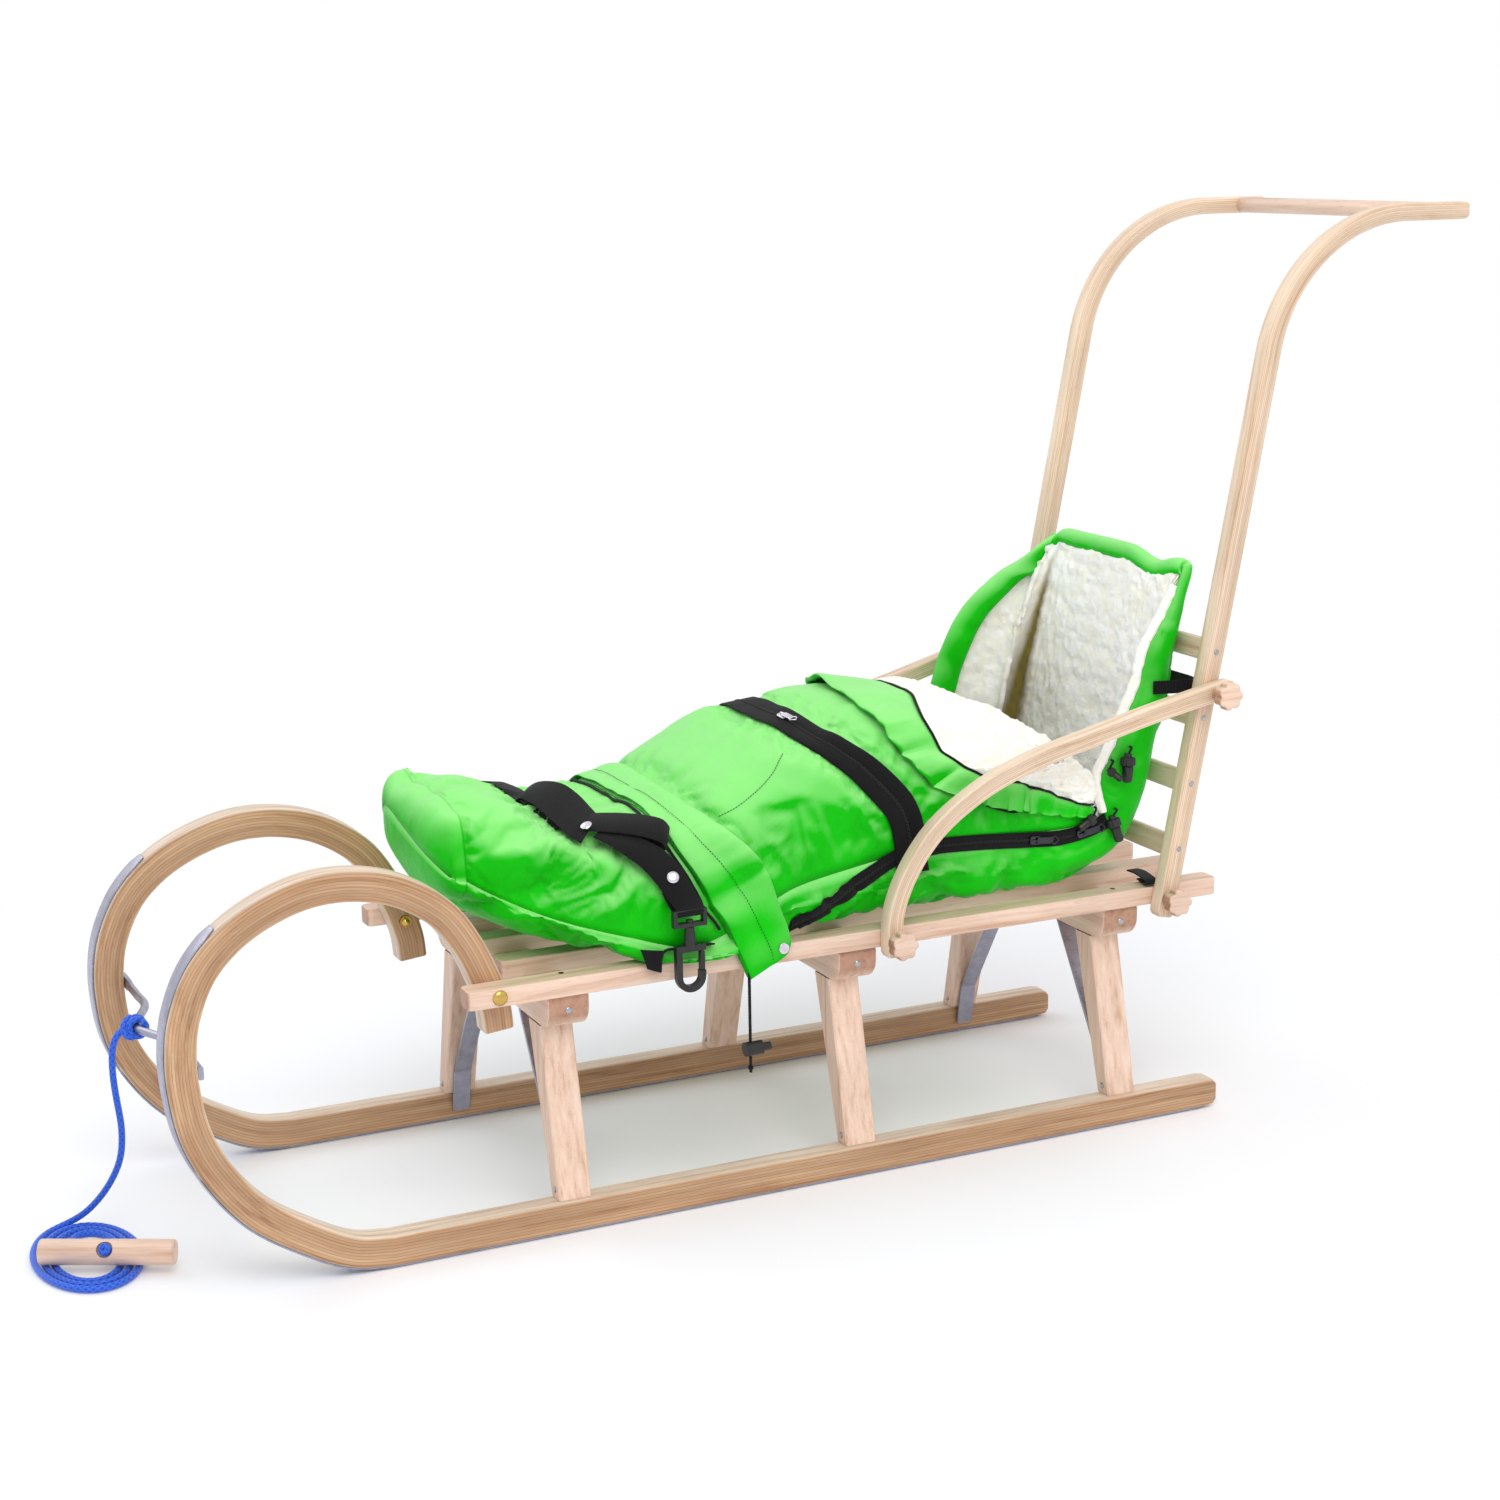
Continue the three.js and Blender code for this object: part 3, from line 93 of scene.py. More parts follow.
def node(tree, kind, settings=None, **inputs):
    # A shader node with its settings and inputs.
    made = tree.nodes.new("ShaderNode" + kind)
    for key, value in (settings or {}).items():
        setattr(made, key, value)
    feed(tree, made, inputs)
    return made


def maths(tree, operation, *values):
    inputs = {f"i{k}": value for k, value in enumerate(values)}
    return node(tree, "Math", {"operation": operation}, **inputs).outputs[0]


def ranged(tree, value, low=0.0, high=1.0, first=0.0, last=1.0, settings=None):
    # A value carried from the range low to high over to the range first to last.
    return node(tree, "MapRange", settings, Value=value, i1=low, i2=high, i3=first, i4=last).outputs[0]


def blend(tree, share, first, second, mode="MIX"):
    return node(
        tree, "Mix", {"data_type": "RGBA", "blend_type": mode}, i0=share, i6=first, i7=second).outputs[2]


def noise(tree, vector, scale, detail, output="Fac", **more):
    return node(tree, "TexNoise", Vector=vector, Scale=scale, Detail=detail, **more).outputs[output]


def warped(tree, vector, amount, scale, detail):
    # Coordinates pushed aside by a noise.
    push = noise(tree, vector, scale, detail, "Color")
    return node(tree, "Mix", {"data_type": "VECTOR"}, i0=amount, i4=vector, i5=push).outputs[1]


def scaled(tree, vector, scale):
    return node(tree, "Mapping", Vector=vector, Scale=scale).outputs[0]


def wave(tree, vector, way, scale, distortion, **more):
    made = node(
        tree, "TexWave", {"bands_direction": way}, Vector=vector, Scale=scale, Distortion=distortion, **more)
    return made.outputs["Fac"]


def clumped(tree, vector, scale, smoothness):
    made = node(
        tree, "TexVoronoi", {"feature": "SMOOTH_F1"}, Vector=vector, Scale=scale, Smoothness=smoothness)
    return made.outputs["Distance"]


def shade(red, green, blue):
    # A screen colour, 0 to 255, as the linear colour that the shader takes.
    parts = [value / 255 for value in (red, green, blue)]
    return tuple(p / 12.92 if p <= 0.04045 else ((p + 0.055) / 1.055) ** 2.4 for p in parts) + (1,)


def ramped(tree, value, *stops):
    # A colour ramp through stops of a position and a screen colour.
    made = node(tree, "ValToRGB", Fac=value)
    steps = made.color_ramp.elements
    for number, (at, tone) in ((0, stops[0]), (1, stops[-1])):
        steps[number].position, steps[number].color = at, shade(*tone)
    for at, tone in stops[1:-1]:
        steps.new(at).color = shade(*tone)
    return made.outputs[0]


def mixedOutput(tree, kind, share, first, second):
    # Two shaders mixed and led to the tree's output.
    mix = node(tree, "MixShader", i0=share, i1=first.outputs[0], i2=second.outputs[0])
    node(tree, kind, i0=mix.outputs[0])


def newPaint(name):
    # A material, its node tree and its texture coordinates.
    material = bpy.data.materials.new(name)
    material.use_nodes = True
    tree = material.node_tree
    return material, tree, node(tree, "TexCoord").outputs


def painted(material, colour, bumps, **levels):
    # Leads colour, bumps (strength, distance, height) and levels to the material's shader.
    tree = material.node_tree
    under = {}
    for strength, distance, height in bumps:
        made = node(tree, "Bump", Strength=strength, Distance=distance, Height=height, **under)
        under = {"Normal": made.outputs[0]}
    feed(tree, tree.nodes["Principled BSDF"], {"Base Color": colour, **under, **levels})
    return material


studio = {
    "world": (0.36, 1.18), "shadow": (0.76, 0.87, 1.0), "light": (1.0, 0.98, 0.975),
    "from": (0.45, 0.58, 0.68),
    "key": 56, "keyAt": (2.5, -0.9, 3.2), "fill": 24, "fillAt": (-2.6, -1.8, 2.6), "lampSize": 2.4,
    "lampsLookAt": (0, -0.1, 0.3), "floorHalf": 15, "floorTone": (244, 244, 246), "floorFade": (0.62, 1.35),
}


def makeWorld():
    # Light by a direction's dot product with a fixed one; white where a camera, glossy or clear ray looks.
    world = bpy.data.worlds.new("studio")
    bpy.context.scene.world = world
    world.use_nodes = True
    tree = world.node_tree
    tree.nodes.clear()
    path = node(tree, "LightPath").outputs
    seen = maths(tree, "MAXIMUM", path["Is Camera Ray"], path["Is Glossy Ray"])
    seen = maths(tree, "MAXIMUM", seen, path["Is Transmission Ray"])
    way = node(tree, "TexCoord").outputs["Generated"]
    aim = node(tree, "VectorMath", {"operation": "DOT_PRODUCT"}, i0=way, i1=studio["from"]).outputs["Value"]
    share = ranged(tree, aim, -1.0, 1.0)
    tint = blend(tree, share, studio["shadow"] + (1,), studio["light"] + (1,))
    level = ranged(tree, share, 0.0, 1.0, *studio["world"])
    light = node(tree, "Background", Color=tint, Strength=level)
    mixedOutput(tree, "OutputWorld", seen, light, node(tree, "Background", Color=(1, 1, 1, 1), Strength=1.0))


def makeLamp(name, at, power):
    lamp = bpy.data.lights.new(name, "AREA")
    lamp.energy, lamp.size = power, studio["lampSize"]
    holder = bpy.data.objects.new(name, lamp)
    holder.location = at
    x, y, z = np.array(studio["lampsLookAt"]) - at
    holder.rotation_euler = (math.atan2(math.hypot(x, y), -z), 0, math.atan2(x, -y) + math.pi)
    bpy.context.scene.collection.objects.link(holder)


def makeFloor():
    # A matt floor that turns white with the distance, for the camera only.
    mesh = bpy.data.meshes.new("floor")
    half = studio["floorHalf"]
    corners = [(x, y, -0.0005) for x, y in ((-half, -half), (half, -half), (half, half), (-half, half))]
    mesh.from_pydata(corners, [], [(0, 1, 2, 3)])
    floor = bpy.data.objects.new("floor", mesh)
    bpy.context.scene.collection.objects.link(floor)
    paint, tree, where = newPaint("floorPaint")
    tree.nodes.remove(tree.nodes["Principled BSDF"])
    tree.nodes.remove(tree.nodes["Material Output"])
    far = node(tree, "VectorMath", {"operation": "LENGTH"}, i0=where["Object"]).outputs["Value"]
    fade = ranged(tree, far, *studio["floorFade"], settings={"interpolation_type": "SMOOTHSTEP"})
    glow = maths(tree, "MULTIPLY", fade, node(tree, "LightPath").outputs["Is Camera Ray"])
    plain = node(tree, "BsdfDiffuse", Color=shade(*studio["floorTone"]))
    mixedOutput(tree, "OutputMaterial", glow, plain, node(tree, "Emission", Color=(1, 1, 1, 1), Strength=1.0))
    mesh.materials.append(paint)


makeWorld()
makeLamp("keyLamp", studio["keyAt"], studio["key"])
makeLamp("fillLamp", studio["fillAt"], studio["fill"])
makeFloor()
bpy.context.scene.view_settings.view_transform = "Standard"
print("studio set")

# Meshes worked out on grids


def finishMesh(name, verts, faces, uv=None, ref=None, sharp=38):
    # Puts points and faces into a mesh, faces turned outwards: by volume, or away from ref.
    mesh = bpy.data.meshes.new(name)
    mesh.from_pydata([tuple(v) for v in np.asarray(verts, float)], [], faces)
    if uv is not None:
        layer = mesh.uv_layers.new(name="UVMap")
        layer.data.foreach_set("uv", np.asarray(uv, float).ravel())
    count = len(mesh.polygons)
    normal, centre, area = np.zeros(count * 3), np.zeros(count * 3), np.zeros(count)
    for key, values in (("normal", normal), ("center", centre), ("area", area)):
        mesh.polygons.foreach_get(key, values)
    centre = centre.reshape(-1, 3) - (np.mean(verts, axis=0) if ref is None else np.asarray(ref))
    if ((normal.reshape(-1, 3) * centre).sum(1) * area).sum() < 0:
        mesh.flip_normals()
    mesh.polygons.foreach_set("use_smooth", np.full(count, True))
    mesh.set_sharp_from_angle(angle=math.radians(sharp))
    mesh.update()
    made = bpy.data.objects.new(name, mesh)
    bpy.context.scene.collection.objects.link(made)
    return made


def gridFaces(rows, cols, around):
    # Four-cornered faces of a grid, and for each corner its row and column, the last column unwrapped.
    spans = cols if around else cols - 1
    i, j = (part.ravel() for part in np.meshgrid(np.arange(rows - 1), np.arange(spans), indexing="ij"))
    row = np.stack([i, i, i + 1, i + 1], 1)
    col = np.stack([j, j + 1, j + 1, j], 1)
    return row * cols + col % cols, row, col


def surface(name, grid, around=False, caps=False, uv=None, ref=None, sharp=38):
    # A grid of points as a surface; around closes it, caps closes its first and last rows.
    # uv is a grid with one more column than the points where the surface is closed around.
    grid = np.asarray(grid, float)
    rows, cols = grid.shape[:2]
    quads, row, col = gridFaces(rows, cols, around)
    faces = quads.tolist()
    corner = None if uv is None else np.asarray(uv, float)[row, col].reshape(-1, 2)
    if caps:
        first = np.arange(cols)[::-1]
        last = (rows - 1) * cols + np.arange(cols)
        faces += [first.tolist(), last.tolist()]
        if uv is not None:
            corner = np.concatenate([corner, np.asarray(uv)[0, first], np.asarray(uv)[rows - 1, :cols]])
    return finishMesh(name, grid.reshape(-1, 3), faces, corner, ref, sharp)


def joined(name, parts):
    # Several meshes as one piece.
    bpy.context.view_layer.objects.active = parts[0]
    bpy.ops.object.select_all(action="DESELECT")
    for part in parts:
        part.select_set(True)
    bpy.ops.object.join()
    parts[0].name = parts[0].data.name = name
    return parts[0]


def coat(piece, finish):
    piece.data.materials.clear()
    piece.data.materials.append(finishes[finish])


def dress(piece, finish, body="sled", stands=()):
    # Gives a piece its finish, its body and the CAD nodes it stands for.
    coat(piece, finish)
    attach(piece, body)
    if stands:
        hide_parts(*stands)
    return piece


def spline(points, steps):
    # A centripetal curve through points, at evenly spread values, as the part's source draws it.
    p = np.asarray(points, float)
    p = np.concatenate([[2 * p[0] - p[1]], p, [2 * p[-1] - p[-2]]])
    value = np.linspace(0, 1, steps + 1) * (len(p) - 3)
    part = np.minimum(value.astype(int), len(p) - 4)
    t = (value - part)[:, None]
    a, b, c, d = p[part], p[part + 1], p[part + 2], p[part + 3]
    gap = [np.maximum(np.sum((v - u) ** 2, 1) ** 0.25, 1e-9)[:, None] for u, v in ((a, b), (b, c), (c, d))]
    m1 = ((b - a) / gap[0] - (c - a) / (gap[0] + gap[1]) + (c - b) / gap[1]) * gap[1]
    m2 = ((c - b) / gap[1] - (d - b) / (gap[1] + gap[2]) + (d - c) / gap[2]) * gap[1]
    return b + m1 * t + (3 * (c - b) - 2 * m1 - m2) * t ** 2 + (2 * (b - c) + m1 + m2) * t ** 3


def lengths(path):
    return np.concatenate([[0], np.cumsum(np.linalg.norm(np.diff(path, axis=0), axis=1))])


def resampled(path, run, marks):
    # The points of a path, its lengths given, at other lengths.
    return np.stack([np.interp(marks, run, path[:, k]) for k in range(3)], 1)


def evenly(path, step):
    # The same path with points a step apart.
    run = lengths(path)
    return resampled(path, run, np.linspace(0, run[-1], max(int(round(run[-1] / step)), 2) + 1))


def unit(vectors):
    vectors = np.asarray(vectors, float)
    return vectors / np.maximum(np.linalg.norm(vectors, axis=-1, keepdims=True), 1e-12)


def soften(line, times, weight=2, directions=False):
    # Draws each inner value towards its neighbours; directions are kept at length 1.
    for _ in range(times):
        total = line[:-2] + weight * line[1:-1] + line[2:]
        line[1:-1] = unit(total) if directions else total / (weight + 2)


def softNoise(points, seed):
    # Smooth noise from -1 to 1, one lump for each unit of length, at any number of points.
    cell = np.floor(points).astype(np.int64)
    part = points - cell
    part = part * part * (3 - 2 * part)
    total = 0
    for dx, dy, dz in ((a, b, c) for a in (0, 1) for b in (0, 1) for c in (0, 1)):
        mark = (cell[..., 0] + dx) * 374761393 + (cell[..., 1] + dy) * 668265263
        mark = mark + (cell[..., 2] + dz) * 1442695041 + seed * 97531
        mark = (mark ^ (mark >> 13)) * 1274126177 & 0xFFFFFFFF
        mark = (mark ^ (mark >> 16)) & 0xFFFF
        x, y, z = (part[..., k] if far else 1 - part[..., k] for k, far in enumerate((dx, dy, dz)))
        total = total + x * y * z * (mark / 32767.5 - 1)
    return total


def roundedRect(halfWide, halfDeep, corner, steps=4):
    # For each station, a rectangle with round corners: shape (stations, points, 2).
    angle = np.concatenate([np.linspace(k * 90, k * 90 + 90, steps + 1) for k in range(4)]) * math.pi / 180
    sign = np.repeat([[1, 1], [-1, 1], [-1, -1], [1, -1]], steps + 1, axis=0)
    wide, deep, soft = (np.atleast_1d(np.asarray(v, float))[:, None] for v in (halfWide, halfDeep, corner))
    across = sign[:, 0] * (wide - soft) + soft * np.cos(angle)
    out = sign[:, 1] * (deep - soft) + soft * np.sin(angle)
    return np.stack([across, out], -1)


def endsRepeated(values, count=4):
    # The first and last values several times over, for the rings that round an end.
    return np.concatenate([np.repeat(values[:1], count, 0), values[1:-1], np.repeat(values[-1:], count, 0)])


def uprightBar(name, path, halfWide, halfDeep, corner, offset=0.0, narrow=None, taper=None):
    # A bar bent in an upright plane. On each point of its path stands a rounded rectangle, one side along X
    # and the other along the path's own normal; its two ends are rounded over by the corner's radius. Its UV
    # map holds the length along the bar and the height above its middle line.
    path = np.asarray(path, float)
    run = lengths(path)
    along = np.gradient(path, axis=0)
    along[:, 0] = 0
    along = unit(along)
    out = np.stack([along[:, 0], -along[:, 2], along[:, 1]], 1)
    deep = np.broadcast_to(np.asarray(halfDeep, float), run.shape).copy()
    wide = np.full(run.shape, float(halfWide))
    if narrow is not None:
        wide = wide * narrow
    if taper is not None:
        deep = deep * taper
    turn = np.linspace(0, math.pi / 2, 4)
    inset = corner * (1 - np.sin(turn))
    shift = corner * (1 - np.cos(turn))
    keep = slice(1, -1)
    outs = endsRepeated(out)
    first, last = path[0] + along[0] * shift[:, None], path[-1] - along[-1] * shift[::-1, None]
    mid = np.concatenate([first, path[keep], last]) + outs * offset
    sink = np.concatenate([inset, np.zeros(len(path) - 2), inset[::-1]])
    deeps, wides = endsRepeated(deep) - sink, endsRepeated(wide) - sink
    soft = np.minimum(corner, np.minimum(deeps, wides) * 0.98)
    shape = roundedRect(wides, deeps, soft)
    grid = mid[:, None] + shape[..., :1] * np.array([1.0, 0, 0]) + shape[..., 1:] * outs[:, None]
    marks = np.concatenate([run[:1] + shift, run[keep], run[-1] - shift[::-1]])
    height = np.concatenate([shape[..., 1], shape[:, :1, 1]], 1)
    uv = np.stack([np.broadcast_to(marks[:, None], height.shape), height], -1)
    return surface(name, grid, around=True, caps=True, uv=uv)


def pointsOf(mesh):
    points = np.zeros(len(mesh.vertices) * 3)
    mesh.vertices.foreach_get("co", points)
    return points.reshape(-1, 3)


def mirrorPiece(piece, name):
    # The same piece on the other side of the middle plane.
    copy = piece.copy()
    copy.data = piece.data.copy()
    copy.name = copy.data.name = name
    copy.data.vertices.foreach_set("co", (pointsOf(copy.data) * [-1, 1, 1]).ravel())
    copy.data.flip_normals()
    copy.data.update()
    bpy.context.scene.collection.objects.link(copy)
    return copy


def dressPair(left, finish, nodeName, moves=False):
    # Dresses a left piece and its mirror image; both ride the sled, or a body named as their node.
    right = mirrorPiece(left, left.name.replace("_left", "_right"))
    for side, piece in (("left", left), ("right", right)):
        own = f"{nodeName}_{side}"
        dress(piece, finish, own if moves else "sled", (own,))


def lathe(name, profile, centre, axis, sides, lobes=None):
    # A turned shape: for each (distance along the axis, radius) a ring, its ends closed. A third value in the
    # profile is the share of the lobes' depth, which a power of the cosine cuts from the radius.
    axis = unit(axis)
    side = unit(np.cross(axis, (0, 0, 1) if abs(axis[2]) < 0.9 else (0, 1, 0)))
    other = np.cross(axis, side)
    profile = np.asarray(profile, float)
    angle = np.arange(sides) * 2 * math.pi / sides
    radius = np.broadcast_to(profile[:, 1:2], (len(profile), sides)).copy()
    if lobes is not None:
        cut = (0.5 + 0.5 * np.cos(angle * lobes["count"])) ** lobes["power"]
        radius = np.maximum(radius - profile[:, 2:3] * lobes["depth"] * cut, 1e-4)
    around = np.cos(angle)[:, None] * side + np.sin(angle)[:, None] * other
    grid = np.asarray(centre, float) + profile[:, :1, None] * axis + radius[..., None] * around
    return surface(name, grid, around=True, caps=True, sharp=34)


def slab(name, outline, plane, low, high, edge):
    # A board: a closed outline in one plane, carried from low to high, with rounded edges.
    outline = np.asarray(outline, float)
    ahead = unit(np.roll(outline, -1, 0) - np.roll(outline, 1, 0))
    inwards = np.stack([-ahead[:, 1], ahead[:, 0]], 1)
    turn = np.linspace(0, math.pi / 2, 4)
    sink = np.concatenate([edge * (1 - np.sin(turn)), edge * (1 - np.sin(turn[::-1]))])
    level = np.concatenate([low + edge * (1 - np.cos(turn)), high - edge * (1 - np.cos(turn[::-1]))])
    flat = outline[None] + inwards[None] * sink[:, None, None]
    grid = np.zeros(flat.shape[:2] + (3,))
    first, second, third = {"xy": (0, 1, 2), "xz": (0, 2, 1)}[plane]
    grid[..., first], grid[..., second] = flat[..., 0], flat[..., 1]
    grid[..., third] = level[:, None]
    piece = surface(name, grid, around=True, caps=True, sharp=50)
    piece.modifiers.new("evenShading", "WEIGHTED_NORMAL").keep_sharp = True
    return piece


def roundOutline(lowX, highX, lowY, highY, corners, steps=8):
    # An outline with round corners, anticlockwise from the low X, low Y one.
    centres = [(lowX, lowY, 180), (highX, lowY, 270), (highX, highY, 0), (lowX, highY, 90)]
    points = []
    for (x, y, start), radius in zip(centres, corners):
        angle = np.radians(np.linspace(start, start + 90, steps + 1))
        cx = x + radius if x == lowX else x - radius
        cy = y + radius if y == lowY else y - radius
        points.append(np.stack([cx + radius * np.cos(angle), cy + radius * np.sin(angle)], 1))
    return np.concatenate(points)


def tube(name, path, radius, sides, relief=None):
    # A round tube along a path, its rings carried along without twist. relief swells each ring point.
    # UV: length along the path, and share of the way around the tube.
    path = np.asarray(path, float)
    along = unit(np.gradient(path, axis=0))
    side = np.zeros_like(path)
    first = np.cross(along[0], (0, 0, 1))
    if np.linalg.norm(first) < 1e-3:
        first = np.cross(along[0], (1, 0, 0))
    side[0] = unit(first)
    for i in range(1, len(path)):
        step = side[i - 1] - along[i] * np.dot(side[i - 1], along[i])
        side[i] = step / np.linalg.norm(step)
    other = np.cross(along, side)
    angle = np.arange(sides) * 2 * math.pi / sides
    run = lengths(path)
    ring = np.full((len(path), sides), float(radius))
    if relief is not None:
        ring = ring + relief(run[:, None], angle[None, :])
    away = np.cos(angle)[None, :, None] * side[:, None] + np.sin(angle)[None, :, None] * other[:, None]
    grid = path[:, None] + ring[..., None] * away
    uv = np.stack(np.broadcast_arrays(run[:, None], np.arange(sides + 1)[None] / sides), -1)
    return surface(name, grid, around=True, caps=True, uv=uv, sharp=60)


# Finishes

woods = {"light": (234, 206, 186), "mid": (222, 189, 166), "streak": (199, 159, 132), "end": (178, 133, 98)}


def wood(name, grainAxis, tones=woods, layered=None, sideTone=0.0, tilt=None):
    # Beech: long soft streaks and short dark flecks along the grain, browner where the grain ends.
    # layered, the thickness of one veneer, draws glue lines by the UV map of a bent bar.
    material, tree, where = newPaint(name)
    facing = node(tree, "SeparateXYZ", Vector=where["Normal"]).outputs
    start = where["Object"]
    if layered:
        bar = node(tree, "SeparateXYZ", Vector=where["UV"]).outputs
        across = node(tree, "SeparateXYZ", Vector=start).outputs["X"]
        start = node(tree, "CombineXYZ", X=bar["X"], Y=bar["Y"], Z=across).outputs[0]
        long, fine = (9, 330, 330), (30, 1500, 1500)
    else:
        ways = ((9, 260), (30, 1400))
        long, fine = (tuple(low if a == grainAxis else high for a in "XYZ") for low, high in ways)
        if tilt is not None:
            start = node(tree, "Mapping", Vector=start, Rotation=(0, 0, tilt)).outputs[0]
    bent = warped(tree, start, 0.012, 6.0, 2.0)
    streaks = noise(tree, scaled(tree, bent, long), 0.55, 5.0, Roughness=0.62)
    colour = ramped(tree, streaks, (0.3, tones["streak"]), (0.45, tones["mid"]), (0.66, tones["light"]))
    lift = ranged(tree, noise(tree, start, 7.0, 2.0), 0.3, 0.7, 0.9, 1.06)
    colour = blend(tree, 1.0, colour, lift, "MULTIPLY")
    dots = scaled(tree, bent, tuple(v * 0.9 for v in fine))
    flecks = node(tree, "TexVoronoi", Vector=dots, Scale=1.0, Randomness=1.0).outputs["Distance"]
    colour = blend(tree, ranged(tree, flecks, 0.1, 0.24, 0.42, 0.0), colour, shade(150, 104, 72))
    if layered:
        count = maths(tree, "DIVIDE", bar["Y"], layered)
        veneer = maths(tree, "FLOOR", count)
        tint = node(tree, "TexWhiteNoise", {"noise_dimensions": "1D"}, W=veneer).outputs["Value"]
        side = ranged(tree, maths(tree, "ABSOLUTE", facing["X"]), 0.6, 0.95)
        colour = blend(tree, side, colour, ranged(tree, tint, first=0.86, last=1.08), "MULTIPLY")
        gap = maths(tree, "PINGPONG", maths(tree, "FRACT", count), 0.5)
        line = maths(tree, "MULTIPLY", ranged(tree, gap, 0.03, 0.12, 0.62, 0.0), side)
        colour = blend(tree, line, colour, shade(140, 96, 60))
        dark = maths(tree, "MULTIPLY", side, sideTone)
        colour = blend(tree, dark, colour, shade(216, 178, 128), "MULTIPLY")
    elif tilt is None:
        end = ranged(tree, maths(tree, "ABSOLUTE", facing[grainAxis]), 0.6, 0.95, last=0.7)
        colour = blend(tree, end, colour, shade(*tones["end"]), "MULTIPLY")
    rough = ranged(tree, streaks, first=0.36, last=0.58)
    return painted(
        material, colour, [(0.22, 0.0004, streaks)], Roughness=rough, Coat_Weight=0.12, Coat_Roughness=0.3)


def metal(name, tone, rough, scratch=0.12):
    # Metal with faint mottling, drawn scratches and a slightly uneven face.
    material, tree, where = newPaint(name)
    cloud = ranged(tree, noise(tree, where["Object"], 90.0, 4.0), 0.3, 0.7, 0.84, 1.06)
    drawn = noise(tree, scaled(tree, where["Object"], (900, 60, 900)), 1.0, 3.0)
    level = ranged(tree, drawn, 0.3, 0.7, rough - scratch, rough + scratch)
    colour = blend(tree, 1.0, shade(*tone), cloud, "MULTIPLY")
    return painted(material, colour, [(0.15, 0.0002, drawn)], Roughness=level, Metallic=1.0)


def moulded(name, tone, rough=0.34):
    # Moulded plastic with a fine grain in its skin and a little dust.
    material, tree, where = newPaint(name)
    dust = noise(tree, where["Object"], 60.0, 5.0)
    colour = ramped(tree, dust, (0.35, tone), (0.8, [v + 22 for v in tone]))
    level = ranged(tree, dust, first=rough - 0.07, last=rough + 0.12)
    return painted(
        material, colour, [(0.12, 0.0001, noise(tree, where["Object"], 2600.0, 2.0))], Roughness=level)


def weave(name, tone, lightTone, crumple, rough, sheen, paintedTopLight, threads=400.0):
    # Coated cloth: fine crossed threads by the UV map, faint changes of tone, small creases; faces that look
    # up get a painted highlight, a pale green mixed in by how far up they face.
    material, tree, where = newPaint(name)
    counted = scaled(tree, where["UV"], (threads,) * 3)
    crossed = maths(tree, "MAXIMUM", *(wave(tree, counted, way, 1.0, 0.4) for way in "XY"))
    cloud = noise(tree, where["Object"], 11.0, 4.0, Roughness=0.6)
    colour = ramped(tree, cloud, (0.34, tone), (0.68, lightTone))
    colour = blend(tree, 1.0, colour, ranged(tree, crossed, first=0.93, last=1.03), "MULTIPLY")
    facing = node(tree, "SeparateXYZ", Vector=node(tree, "NewGeometry").outputs["Normal"]).outputs["Z"]
    # Painted highlight: upward-facing faces are mixed towards pale green, as if lit from above.
    colour = blend(tree, ranged(tree, facing, 0.06, 0.86, last=paintedTopLight), colour, shade(176, 252, 156))
    bent = warped(tree, where["Object"], 0.05, 14.0, 3.0)
    creases = maths(tree, "MULTIPLY_ADD", noise(tree, bent, 70.0, 4.0), 0.3, clumped(tree, bent, 26.0, 0.35))
    return painted(
        material, colour, [(crumple, 0.004, creases), (0.3, 0.0002, crossed)],
        Roughness=rough, Specular_IOR_Level=0.12, Sheen_Weight=sheen, Sheen_Roughness=0.4)


def fleeceFinish(name, tone, recessShadeTone):
    # Curly fleece: clumps of short wool, creamier in the depths between them by random tone and a painted
    # shade; a dark olive painted shade where the mesh's shade attribute is 1.
    material, tree, where = newPaint(name)
    bent = warped(tree, where["Object"], 0.014, 90.0, 3.0)
    curl = noise(tree, bent, 420.0, 5.0, Roughness=0.7)
    depth = maths(tree, "MULTIPLY_ADD", curl, -0.5, clumped(tree, bent, 85.0, 0.6))
    level = maths(tree, "MULTIPLY_ADD", noise(tree, where["Object"], 16.0, 3.0), 0.5, depth)
    # The ramp runs from the base tone to a creamier painted shade in the recesses between curls, mixed with
    # random tone.
    colour = ramped(tree, level, (0.2, tone), (0.85, recessShadeTone))
    # Painted shade: dark olive where the mesh's shade attribute marks the fold beside the far wing.
    paintedShade = node(tree, "Attribute", {"attribute_name": "paintedShade"}).outputs["Fac"]
    colour = blend(tree, paintedShade, colour, shade(122, 108, 44))
    return painted(
        material, colour, [(0.7, 0.0035, maths(tree, "MULTIPLY", depth, -1.0))],
        Roughness=0.95, Sheen_Weight=0.35, Specular_IOR_Level=0.15)


def ribbed(name, tone, pitch, rough=0.75):
    # Webbing or zip tape: ribs of a given pitch by the UV map, with a fine cross weave.
    material, tree, where = newPaint(name)
    counted = scaled(tree, where["UV"], (2 * math.pi / pitch / 20,) * 3)
    ribs = wave(tree, counted, "X", 1.0, 0.15, Detail=1.0)
    both = maths(tree, "MULTIPLY_ADD", wave(tree, counted, "Y", 1.6, 0.5), 0.35, ribs)
    colour = ramped(tree, both, (0.1, [max(v - 10, 4) for v in tone]), (1.0, [v + 11 for v in tone]))
    return painted(
        material, colour, [(0.6, 0.0005, both)], Roughness=rough, Specular_IOR_Level=0.15, Sheen_Weight=0.06)


